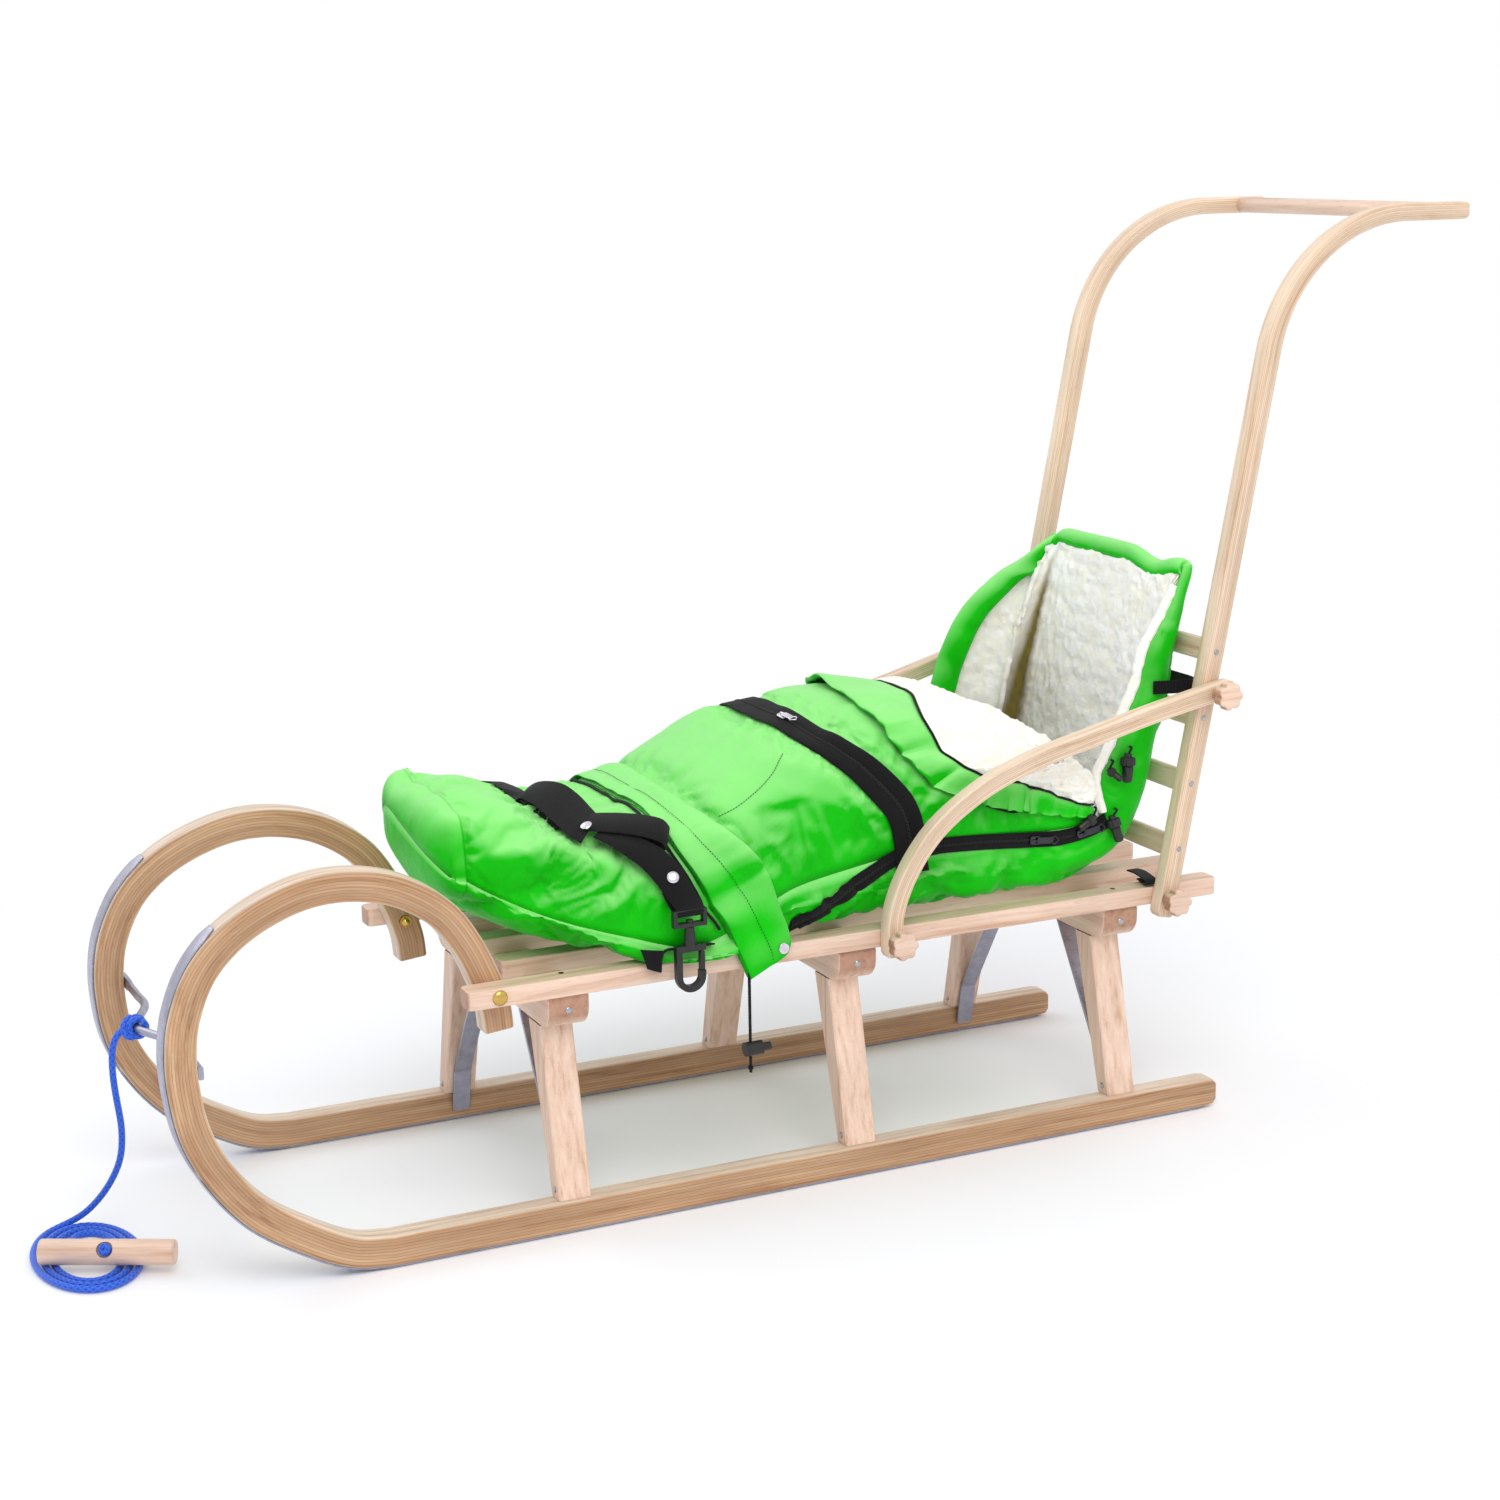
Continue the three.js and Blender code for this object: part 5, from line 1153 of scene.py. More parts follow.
def tubGrid(frontRows=110, hoodRows=90, columns=96):
    # Each row runs from the near rim round the floor, or the hood's back, to the far rim: across, a steep
    # power of the cosine; between rim and floor, the same power of the sine.
    ys = np.linspace(-muff["front"], -228, frontRows)
    rims = np.stack([ys, along("seam", ys)], 1)
    half = muff["half"] * along("wide", ys)
    floor = np.concatenate([
        np.stack([ys, np.full_like(ys, muff["base"])], 1), threaded(hoodBack, hoodRows)[1:]])
    near = np.concatenate([rims, threaded(hoodNear, hoodRows)[1:]])
    far = np.concatenate([rims, threaded(hoodFar, hoodRows)[1:]])
    wide = np.concatenate([np.stack([half, half], 1), threaded(hoodWide, hoodRows)[1:]])
    theta = np.linspace(0, math.pi, columns)
    soft, square = muff["lowerFull"]
    full = np.interp(floor[:, 0], [-muff["front"], -700, -600], [soft, soft + 0.6, square])[:, None]
    across = power(np.cos(theta)[None], 2 / full)
    fall = np.sin(theta)[None] ** (2 / full)
    rim = np.where((theta < math.pi / 2)[None, :, None], near[:, None], far[:, None])
    yz = rim + (floor[:, None] - rim) * fall[..., None]
    x = across * (wide[:, 1:] + (wide[:, :1] - wide[:, 1:]) * fall)
    return np.concatenate([x[..., None], yz], -1)


def clothSurface(name, grid, ref=None, sharp=80):
    # A grid as a surface, faces turned away from ref, with lengths along the cloth in its UV map.
    return surface(name, place(grid), uv=clothUv(grid), ref=None if ref is None else place(ref), sharp=sharp)


def outFrom(grid, centre):
    # A grid's directions across its surface, turned away from a centre line.
    out = unit(np.cross(np.gradient(grid, axis=0), np.gradient(grid, axis=1)))
    return out if ((grid - centre) * out).sum() > 0 else -out


def clothUv(grid):
    # Lengths along both directions of a grid, in metres.
    down = np.cumsum(np.linalg.norm(np.diff(grid, axis=0, prepend=grid[:1]), axis=2), axis=0)
    side = np.cumsum(np.linalg.norm(np.diff(grid, axis=1, prepend=grid[:, :1]), axis=2), axis=1)
    middle = grid.shape[1] // 2
    down = np.broadcast_to(down[:, middle:middle + 1], side.shape)
    return np.stack([down, side - side[:, middle:middle + 1]], -1) / 1000


def drawnFront(grid):
    # Towards the foot end the rows move back by a square and the underside rises to the seam, like a pillow's
    # end.
    y, z = grid[..., 1], grid[..., 2]
    seam = along("seam", y)
    under = np.clip((seam - z) / (seam - muff["base"]), 0, 1)
    moved = grid.copy()
    moved[..., 2] += np.interp(y, *np.array(muff["lift"]).T) * under
    moved[..., 1] += muff["drawn"] * np.clip((-640 - y) / 188, 0, 1) ** 2
    return moved


def overhang(spot):
    # Beside the cuff the bag's near edge slides over the outer slat and hangs a little.
    y, z = spot[..., 1], spot[..., 2]
    amount = np.interp(y, [-690, -650, -600, -560, -520, -480], [0, 0.3, 1, 1, 0.8, 0])
    amount = amount * np.clip((spot[..., 0] - 120) / 30, 0, 1)
    low = np.clip((300 - z) / 50, 0, 1)
    moved = spot.copy()
    moved[..., 0] += amount * (low * 11 + 4)
    moved[..., 2] -= amount * low * 22
    return moved


def shapeCover():
    grid = coverGrid()
    out = outFrom(grid, np.array([0, -500, 300]))
    y, rise = grid[..., 1], np.clip((grid[..., 2] - along("seam", grid[..., 1])) / 60, 0, 1)
    foot, belly = np.clip((-575 - y) / 50, 0, 1), np.clip((y + 505) / 40, 0, 1)
    swell = folds(grid, 5, [(1, 0.25, 0), (0.8, -0.9, 0)], (66, 38), (5.0, 3.0)) * belly
    swell += folds(grid, 19, [(0.35, 1, 0), (-0.3, 1, 0.1)], (58, 30), (8.5, 4.0)) * foot
    crease = grid[..., 0] - np.interp(y, [-828, -760, -690, -600], [96, 118, 136, 150])
    crossing = 7 * np.exp(-((crease + 12) / 14) ** 2) - 9 * np.exp(-((crease - 9) / 9) ** 2)
    swell += foot * crossing * np.clip((-640 - y) / 60, 0, 1)
    grid = grid + out * (swell * rise)[..., None]
    ear = np.exp(-((grid[..., 0] + 86) / 25) ** 2 - ((y + 834) / 34) ** 2) * rise
    grid[..., 2] += 30 * ear
    grid[..., 1] -= 3 * ear
    return overhang(drawnFront(grid))


def shapeTub():
    grid = tubGrid()
    out = outFrom(grid, grid.mean(axis=1, keepdims=True))
    share = np.linspace(0, 1, grid.shape[1])
    edge = np.minimum(share, 1 - share)[None]
    wall = np.clip(1 - edge / 0.33, 0, 1) * np.clip(edge / 0.04, 0, 1)
    swell = folds(grid, 41, [(0, 0.5, 1), (0, 1, 0.35)], (52, 30), (6.5, 3.5)) * wall
    swell += 5 * np.sin(np.clip(edge / 0.3, 0, 1) * math.pi)
    grid = grid + out * swell[..., None]
    grid[..., 2] = np.maximum(grid[..., 2], muff["base"] + 0.4)
    dip = np.exp(-((grid[..., 0] - 72) / 30) ** 2) * np.clip((grid[..., 2] - 530) / 45, 0, 1)
    grid[..., 2] -= 11 * dip
    return overhang(drawnFront(grid))


def frontRings(tub, cover, count=12):
    # The foot end: the first section drawn together, by the sine, towards a ridge across the front.
    ring = np.concatenate([tub[0], cover[0][::-1][1:-1]])
    low, high, slant = muff["ridge"]
    ridge = low + (high + slant * ring[:, 0]) * (1 - np.clip(np.abs(ring[:, 0]) / 100, 0, 1) ** 5)
    rows = []
    for turn in np.linspace(0, math.pi / 2, count):
        row = ring.copy()
        row[:, 0] *= 0.95 + 0.05 * math.sin(turn)
        row[:, 1] -= muff["endDepth"] * math.cos(turn) * (1 - 0.55 * (np.abs(ring[:, 0]) / 100) ** 4)
        row[:, 2] = ridge + (ring[:, 2] - ridge) * math.sin(turn) ** 0.8
        rows.append(row)
    return np.array(rows)


def thick(piece, depth, offset=-1.0):
    wall = piece.modifiers.new("thickness", "SOLIDIFY")
    wall.thickness, wall.offset, wall.use_even_offset = depth, offset, False
    return piece


def softer(piece):
    rounding = piece.modifiers.new("softer", "SUBSURF")
    rounding.levels = rounding.render_levels = 1
    return piece


cloth = {"frames": 20, "grow": 0.075, "pressure": 2.5, "cap": 7.5, "mass": 0.22, "stretch": 10, "bend": 0.12}


def settled(name, grid, held, ref):
    # Cloth: the sheet is cut a little larger than its frame and blown up gently, held where held is 1; how
    # far a point moves is capped by the hyperbolic tangent.
    sheet = surface(name, place(grid), ref=place(ref))
    group = sheet.vertex_groups.new(name="held")
    level = np.round(np.clip(held, 0, 1) * 4).ravel()
    for step in (1, 2, 3, 4):
        group.add(np.flatnonzero(level == step).tolist(), step / 4, "REPLACE")
    modifier = sheet.modifiers.new("cloth", "CLOTH")
    setting = modifier.settings
    setting.quality, setting.mass = 6, cloth["mass"]
    setting.tension_stiffness = setting.compression_stiffness = cloth["stretch"]
    setting.shear_stiffness, setting.bending_stiffness = cloth["stretch"] / 2, cloth["bend"]
    setting.vertex_group_mass = "held"
    setting.shrink_min = setting.shrink_max = -cloth["grow"]
    setting.use_pressure, setting.uniform_pressure_force = True, cloth["pressure"]
    setting.effector_weights.gravity = 0
    modifier.collision_settings.use_collision = False
    modifier.point_cache.frame_end = cloth["frames"]
    for frameNumber in range(1, cloth["frames"] + 1):
        bpy.context.scene.frame_set(frameNumber)
    moved = pointsOf(sheet.evaluated_get(bpy.context.evaluated_depsgraph_get()).to_mesh())
    bpy.data.objects.remove(sheet)
    bpy.context.scene.frame_set(1)
    shift = moved.reshape(grid.shape) * 1000 - [0, rearToOrigin, 0] - grid
    far = np.linalg.norm(shift, axis=-1, keepdims=True)
    print(f"{name}: cloth moved {far.mean():.1f} mm on average, {far.max():.1f} mm at most")
    return grid + shift * np.tanh(far / cloth["cap"]) * cloth["cap"] / np.maximum(far, 1e-6)


def close(value, centre, hold, fade):
    # 1 within hold of a centre, falling to 0 over fade.
    return np.clip(1 - (np.abs(value - centre) - hold) / fade, 0, 1)


def simulate():
    # The cover is held along its seams, the wide zip and the cuff's stitching; the bag at its rims and on the
    # slats.
    y = cover[..., 1]
    column = np.linspace(0, 180, cover.shape[1])[None]
    edges = np.ones(cover.shape)[..., 0]
    edges[2:-2, 2:-2] = 0
    zipY = np.interp(
        column, [2, 15, 34, 48, 62, 92, 120, 150, 168],
        [-351, -361, -392, -412, -430, -443, -428, -404, -384])
    stitchY = np.interp(
        column, [0, 20, 40, 60, 88, 110, 138, 176], [-548, -558, -575, -584, -589, -587, -580, -556])
    held = np.maximum(edges, np.maximum(close(y, zipY, 19, 12), close(y, stitchY - 4, 26, 8)))
    held = np.maximum(held, close(y, -700, 12, 10) * 0.75)
    upper = settled("coverCloth", cover, held, [0, -500, 300])
    share = np.linspace(0, 1, tub.shape[1])[None] * np.ones(tub.shape[:2])
    edge, y, z = np.minimum(share, 1 - share), tub[..., 1], tub[..., 2]
    held = np.maximum(close(edge, 0, 0.012, 0.02), np.clip((256 - z) / 4, 0, 1))
    held = np.maximum(held, np.clip((z - 505) / 30, 0, 1))
    held = np.maximum(held, close(y, -612, 40, 12) * (z < 285) * (share < 0.5))
    held[:2] = held[-4:] = 1
    lower = settled("bagCloth", tub, held, [0, -400, 380])
    inwards = np.minimum(((lower - tub) * tubBaseOut).sum(-1, keepdims=True), 0)
    inwards = inwards * np.clip((y + 300) / 60, 0, 1)[..., None]
    lower = lower - tubBaseOut * inwards
    lower[..., 2] = np.maximum(lower[..., 2], muff["base"] + 0.3)
    return lower, upper


tub, cover = shapeTub(), shapeCover()
tubBase, tubBaseOut = tub, outFrom(tub, tub.mean(axis=1, keepdims=True))
tub, cover = simulate()
tubOut = outFrom(tub, tub.mean(axis=1, keepdims=True))
coverOut = outFrom(cover, np.array([0, -500, 300]))


def makeShell():
    rings = frontRings(tub, cover)
    lengthMap = clothUv(np.concatenate([rings, rings[:, :1]], 1))
    front = surface(
        "bagFootEnd", place(rings), around=True, uv=lengthMap, ref=place([0, -700, 330]), sharp=75)
    lower = clothSurface("bagLower", tub, [0, -400, 380])
    upper = clothSurface("bagCover", cover, [0, -500, 300])
    for piece, fill in ((front, 0.6), (lower, 0.5), (upper, 0.55)):
        thick(piece, 0.0022)
        dress(piece, "green", stands=("footmuff_shell",))


makeShell()
print("footmuff shell made")


def sample(grid, row, column):
    # A grid's value between its points.
    row = np.clip(row, 0, grid.shape[0] - 1.001)
    column = np.clip(column, 0, grid.shape[1] - 1.001)
    r, c = row.astype(int), column.astype(int)
    fr, fc = (row - r)[..., None], (column - c)[..., None]
    upper = grid[r, c] * (1 - fc) + grid[r, c + 1] * fc
    lower = grid[r + 1, c] * (1 - fc) + grid[r + 1, c + 1] * fc
    return upper * (1 - fr) + lower * fr


def onCover(y, turn, lift):
    # The cover's point at a distance y and a turn in degrees, 0 at the near seam and 180 at the far one.
    y, turn, lift = np.broadcast_arrays(
        np.asarray(y, float), np.asarray(turn, float), np.asarray(lift, float))
    theta = np.radians(turn)
    reach = np.abs(np.cos(theta)) ** (2 / muff["upperFull"])
    rear = -muff["rear"] + muff["rearSweep"] * reach ** 2.2
    row = (y + muff["front"]) / (rear + muff["front"]) * (cover.shape[0] - 1)
    column = theta / math.pi * (cover.shape[1] - 1)
    out = unit(sample(coverOut, row, column))
    return sample(cover, row, column) + out * lift[..., None], out


sideCloud = np.concatenate([tub[:, :36].reshape(-1, 3), cover[:, :26].reshape(-1, 3)])
sideOut = np.concatenate([tubOut[:, :36].reshape(-1, 3), coverOut[:, :26].reshape(-1, 3)])


def onSide(points, lift):
    # Points (y, z) laid on the bag's near side: x and the way out come from the nearest points of the cloth.
    points = np.atleast_2d(np.asarray(points, float))
    gap = ((points[:, None] - sideCloud[None, :, 1:]) ** 2).sum(-1)
    nearest = np.argpartition(gap, 8, axis=1)[:, :8]
    weight = 1 / (np.take_along_axis(gap, nearest, 1) + 3)
    weight /= weight.sum(1, keepdims=True)
    x = (sideCloud[nearest, 0] * weight).sum(1)
    out = unit((sideOut[nearest] * weight[..., None]).sum(1))
    return np.concatenate([x[:, None], points], 1) + out * np.broadcast_to(lift, x.shape)[:, None], out


def band(name, first, second, out, profile, depth):
    # A strip between two edge lines: profile gives (share across, lift) and thickness goes inwards.
    profile = np.asarray(profile, float)
    across, lift = profile[:, 0, None], profile[:, 1, None]
    grid = first[:, None] + (second - first)[:, None] * across + out[:, None] * lift
    return thick(clothSurface(name, grid, grid.mean((0, 1)) - out.mean(0) * 200, 60), depth)


def curve(keys, count):
    return spline(np.asarray(keys, float), count)


def stitches(name, path, out, pitch, length, radius):
    # Thread: a slim eight-sided grain for each stitch along a line.
    run = lengths(path)
    marks = np.arange(pitch, run[-1] - pitch, pitch)
    at = resampled(path, run, marks)
    ahead = unit(resampled(path, run, marks + 1) - at)
    up = unit(resampled(out, run, marks))
    side = np.cross(ahead, up)
    ends = ahead * length / 2
    verts = np.stack(
        [at - ends, at + ends, at + side * radius, at + up * radius, at - side * radius, at - up * radius], 1)
    faces = np.array([[0, 3, 2], [0, 4, 3], [0, 5, 4], [0, 2, 5], [1, 2, 3], [1, 3, 4], [1, 4, 5], [1, 5, 2]])
    faces = (faces[None] + 6 * np.arange(len(marks))[:, None, None]).reshape(-1, 3)
    return finishMesh(name, place(verts.reshape(-1, 3)), faces.tolist(), sharp=30)


def placed(piece, at, ahead, out):
    # Moves a piece made round the origin: its x goes ahead, its z out.
    ahead = unit(ahead)
    side = unit(np.cross(out, ahead))
    up = np.cross(ahead, side)
    points = pointsOf(piece.data) @ np.array([ahead, side, up]) + np.asarray(at)
    piece.data.vertices.foreach_set("co", points.ravel())
    piece.data.update()
    return piece


# Zips: the wide one over the cover, the one along the near side and the short one below

zips = {"toothPitch": 1.7, "wideHalf": 18.0, "sideHalf": 8.0, "lift": 1.6}
wideZip = [
    (-384, 168), (-404, 150), (-428, 120), (-443, 92), (-430, 62), (-412, 48), (-392, 34), (-376, 24),
    (-361, 15), (-354, 8), (-351, 2)]
sideZip = [
    (-352, 313), (-324, 318), (-284, 317), (-244, 314), (-210, 311), (-177, 309), (-145, 313), (-122, 320)]
lowZip = [(-484, 259), (-468, 266), (-450, 275), (-420, 289), (-390, 303), (-362, 315)]


def zipAlong(name, centre, out, half, sliders, pullFinish):
    # Two tapes, a ridge of teeth between them that rises and falls by a square wave, and its sliders.
    ahead = unit(np.gradient(centre, axis=0))
    across = unit(np.cross(out, ahead))
    tape = [
        (0, 0.2), (0.04, 0.9), (0.2, 1.0), (0.44, 0.9), (0.47, 0.3), (0.53, 0.3), (0.56, 0.9), (0.8, 1.0),
        (0.96, 0.9), (1, 0.2)]
    strip = band(name + "Tape", centre - across * half, centre + across * half, out, tape, 0.0012)
    dress(strip, "tape")
    fine = evenly(centre, zips["toothPitch"] / 5)
    run, whole = lengths(fine), lengths(centre)
    fineOut = unit(resampled(out, whole, run))
    fineSide = unit(np.cross(fineOut, unit(np.gradient(fine, axis=0))))
    wave = np.tanh(3 * np.sin(run * 2 * math.pi / zips["toothPitch"]))
    shape = np.array([
        (-1.9, 0.2, 0), (-1.5, 1.1, 1), (-0.35, 1.35, 1), (0.35, 1.35, -1), (1.5, 1.1, -1), (1.9, 0.2, 0)])
    height = shape[:, 1] + 0.3 * shape[:, 2] * wave[:, None]
    grid = fine[:, None] + fineSide[:, None] * shape[:, 0, None] + fineOut[:, None] * height[..., None]
    teeth = clothSurface(name + "Teeth", grid, grid.mean((0, 1)) - out.mean(0) * 200, 40)
    dress(teeth, "teeth")
    for number, (share, reach) in enumerate(sliders):
        spot = int(share * (len(fine) - 1))
        at, way = place(fine[spot] + fineOut[spot] * 1.5), unit(np.gradient(fine, axis=0))[spot]
        makeSlider(f"{name}Slider{number}", at, way, fineOut[spot], reach, pullFinish)


def makeSlider(name, at, ahead, out, reach, pullFinish):
    # A rounded body, a bridge over it, and a flat pull with a wire eye at its end, lying back on the tape.
    outline = roundOutline(-0.006, 0.006, -0.0045, 0.0045, (0.003, 0.0012, 0.0012, 0.003))
    body = slab(name + "Body", outline, "xy", -0.0004, 0.0026, 0.0007)
    arch = [
        (-0.0045, 0, 0.002), (-0.003, 0, 0.0042), (0.001, 0, 0.0046), (0.004, 0, 0.0036), (0.0045, 0, 0.002)]
    bridge = tube(name + "Bridge", arch, 0.0009, 8)
    outline = roundOutline(0.001, reach, -0.0034, 0.0034, (0.0022, 0.0034, 0.0034, 0.0022))
    pull = slab(name + "Pull", outline, "xy", 0.0036, 0.0048, 0.0004)
    eye = [(-0.003, -0.002, 0.0044), (0.002, -0.0042, 0.0046), (0.006, 0, 0.0046)]
    eye += [(x, -y, z) for x, y, z in eye[1::-1]]
    ring = tube(name + "Ring", [(reach + x, y, z) for x, y, z in eye], 0.0008, 8)
    for part in (body, bridge, pull, ring):
        placed(part, at, ahead, out)
        part.modifiers.clear()
    piece = joined(name, [body, bridge, pull, ring])
    return dress(piece, pullFinish)


def cordAlong(name, line, radius, sides=10):
    # A thin black cord along a line in millimetres.
    return dress(tube(name, place(evenly(line, 3)), radius, sides), "cord")


def makeZips():
    centre, out = onCover(*threaded(wideZip, 150).T, zips["lift"])
    low, lowOut = onSide(threaded([(-350, 309), (-350, 303), (-350, 296)], 10), zips["lift"])
    rough, out = np.concatenate([centre, low]), np.concatenate([out, lowOut])
    centre = evenly(rough, 3)
    out = resampled(out, lengths(rough), lengths(centre))
    soften(centre, 12)
    soften(out, 12, directions=True)
    zipAlong("wideZip", centre + out * 0.8, unit(out), zips["wideHalf"], [(0.53, 0.016)], "stud")
    for name, keys, sliders in (("sideZip", sideZip, [(0.62, 0.02), (0.86, 0.02)]), ("lowZip", lowZip, [])):
        centre, out = onSide(threaded(keys, 90), zips["lift"])
        zipAlong(name, centre, out, zips["sideHalf"], sliders, "darkSteel")


makeZips()
print("zips made")

# Fleece lining: the tub's own grid set inwards, the fold beside the far wing darkened by a painted shade, and
# rolled edges

lining = {"inset": 11.0, "from": -430, "curl": 1.9, "curlSize": 9.0, "groove": 11.0, "wing": 23.0}


def finer(grid, rows, columns):
    i = np.linspace(0, grid.shape[0] - 1, rows)[:, None] * np.ones(columns)
    j = np.linspace(0, grid.shape[1] - 1, columns)[None] * np.ones((rows, 1))
    return sample(grid, i, j)


def curls(points, seed):
    # Wool: lumps a few millimetres across, on softer ones twice their size.
    size = lining["curlSize"]
    lumps = np.abs(softNoise(points / size, seed)) + 0.6 * np.abs(softNoise(points / (size * 0.45), seed + 3))
    return lining["curl"] * (1 - 1.6 * lumps) + 1.5 * softNoise(points / (size * 3), seed + 5)


def makeLining():
    start = int(np.argmax(tubBase[:, 48, 1] > lining["from"]))
    rows, columns = 218, 218
    grid = finer(tubBase[start:-2], rows, columns)
    out = unit(finer(tubBaseOut[start:-2], rows, columns))
    share = np.linspace(0, 1, columns)[None]
    hood = np.clip((grid[..., 2] - 300) / 60, 0, 1)
    groove = np.exp(-((share - 0.735) / 0.034) ** 2) * hood
    wing = np.exp(-((share - 0.85) / 0.06) ** 2) * hood
    nearWing = np.exp(-((share - 0.16) / 0.07) ** 2) * hood
    back = np.clip(1 - np.abs(share - 0.5) / 0.2, 0, 1) * hood
    ending = np.clip((rows - 6 - np.arange(rows)) / 45, 0, 1)[:, None]
    deeper = lining["wing"] * wing + 5 * nearWing + 4 * back - lining["groove"] * 0.5 * groove
    inset = lining["inset"] + deeper * ending
    edge = np.minimum(share, 1 - share)
    tuck = np.clip(1 - edge / 0.02, 0, 1)
    topmost = np.clip((np.arange(rows) - rows + 14) / 12, 0, 1)[:, None]
    tuck = np.maximum(tuck, topmost)
    inset = inset * (1 - tuck) + 7.5 * tuck
    surfaceIn = grid - out * inset[..., None]
    surfaceIn = surfaceIn - out * (curls(surfaceIn, 61) * (1 - topmost))[..., None]
    nearTop = np.clip((np.arange(rows) - rows + 40) / 40, 0, 1)[:, None] * np.clip(1 - share / 0.3, 0, 1)
    nearTop = nearTop[..., None]
    surfaceIn = surfaceIn - (surfaceIn - surfaceIn.mean(axis=1, keepdims=True)) * 0.06 * nearTop
    piece = clothSurface("fleeceInside", surfaceIn, sharp=180)
    # Painted shade: strongest in the fold beside the far wing, weaker on the lower back beside it; the fleece
    # finish darkens by it.
    z = surfaceIn[..., 2]
    wide = np.interp(z, [320, 420, 540], [0.08, 0.05, 0.02])
    paintedShade = np.exp(-((share - 0.738) / wide) ** 2) * close(z, 400, 110, 60) * hood
    paintedShade += 0.25 * close(z, 350, 50, 90) * close(share, 0.68, 0.12, 0.12) * hood
    layer = piece.data.attributes.new("paintedShade", "FLOAT", "POINT")
    layer.data.foreach_set("value", np.clip(paintedShade, 0, 1).ravel())
    thick(piece, 0.003, 1.0)
    dress(piece, "fleece", stands=("footmuff_lining",))


def makeRimRoll(name, path, radius, seed):
    # A soft edge roll of wool along a rim, swollen by noise along and around it.
    def relief(run, angle):
        spots = np.broadcast_arrays(run * 160, np.cos(angle) * 1.3, np.sin(angle) * 1.3)
        return 0.001 * softNoise(np.stack(spots, -1), seed)

    roll = tube(name, place(path), radius, 16, relief=relief)
    return dress(roll, "fleece")


makeLining()
rowsUp = np.arange(int(np.argmax((tub[:, 0, 2] > 327) & (tub[:, 0, 1] > -200))), tub.shape[0] - 7)
nearRim = tub[rowsUp, 0] + tubBaseOut[rowsUp, 0] * 0.5
makeRimRoll("fleeceNearEdge", evenly(nearRim, 2.2), 0.0052, 71)


def makeHoodBinding():
    # Green cloth carried over the far rim and the hood's top edge and a little way down inside.
    rows = np.arange(int(np.argmax((tub[:, -1, 2] > 322) & (tub[:, -1, 1] > -215))), tub.shape[0])
    path = np.concatenate([tub[rows, -1], tub[-1, ::-1][3:-1]])
    marks = [0, len(rows) - 12, len(rows) + 8, len(path) - 14, len(path)]
    size = np.interp(np.arange(len(path)), marks, [1, 1, 0.7, 0.7, 0.3])[:, None]
    up = np.concatenate([unit(tub[rows, -1] - tub[rows, -4]), unit(tub[-1, ::-1] - tub[-4, ::-1])[3:-1]])
    out = np.concatenate([tubBaseOut[rows, -1], tubBaseOut[-1, ::-1][3:-1]])
    run, rough = lengths(path), path
    path = evenly(rough, 3)
    up, out = (unit(resampled(way, run, lengths(path))) for way in (up, out))
    size = np.interp(lengths(path), run, size[:, 0])[:, None]
    soften(path, 8)
    soften(up, 8, directions=True)
    soften(out, 8, directions=True)
    profile = np.array([
        (-16, 0.8), (-6, 1.6), (0, 2.0), (4.5, 0), (6.5, -4), (6, -9), (2, -14.5), (-5, -18), (-13, -19),
        (-19, -17), (-21, -13)])
    pucker = 1.2 * np.sin(lengths(path) / 9)[:, None] + 1.5 * softNoise(path / 17, 5)[:, None]
    across, lift = (profile[:, 0] * size)[..., None], ((profile[:, 1] + pucker * 0.6) * size)[..., None]
    grid = path[:, None] + up[:, None] * across + out[:, None] * lift
    piece = softer(thick(clothSurface("hoodBinding", grid), 0.0012, 0.0))
    dress(piece, "green")


makeHoodBinding()
print("lining made")

# Flap: the cover's rear edge folded forward, wool side up, with a black piping and a green hem

flap = {"count": 260, "roll": 7.0, "cushion": 9.0}
foldKeys = [
    (-150, 168), (-176, 145), (-212, 115), (-227, 90), (-210, 68), (-190, 54), (-174, 42), (-165, 33),
    (-159, 28), (-154, 23), (-148, 18), (-143, 12), (-140, 8)]
pipingKeys = [
    (-222, 168), (-252, 145), (-274, 115), (-284, 90), (-302, 70), (-310, 54), (-298, 35), (-284, 28),
    (-262, 24), (-235, 22), (-205, 18), (-170, 12), (-141, 7.5)]
hemKeys = [
    (-262, 168), (-315, 145), (-347, 115), (-362, 90), (-367, 70), (-360, 49), (-340, 30), (-316, 19),
    (-282, 14), (-243, 9), (-212, 6.5), (-175, 4.5), (-141, 3)]


def flapLine(keys, lift):
    return onCover(*threaded(keys, flap["count"]).T, lift)


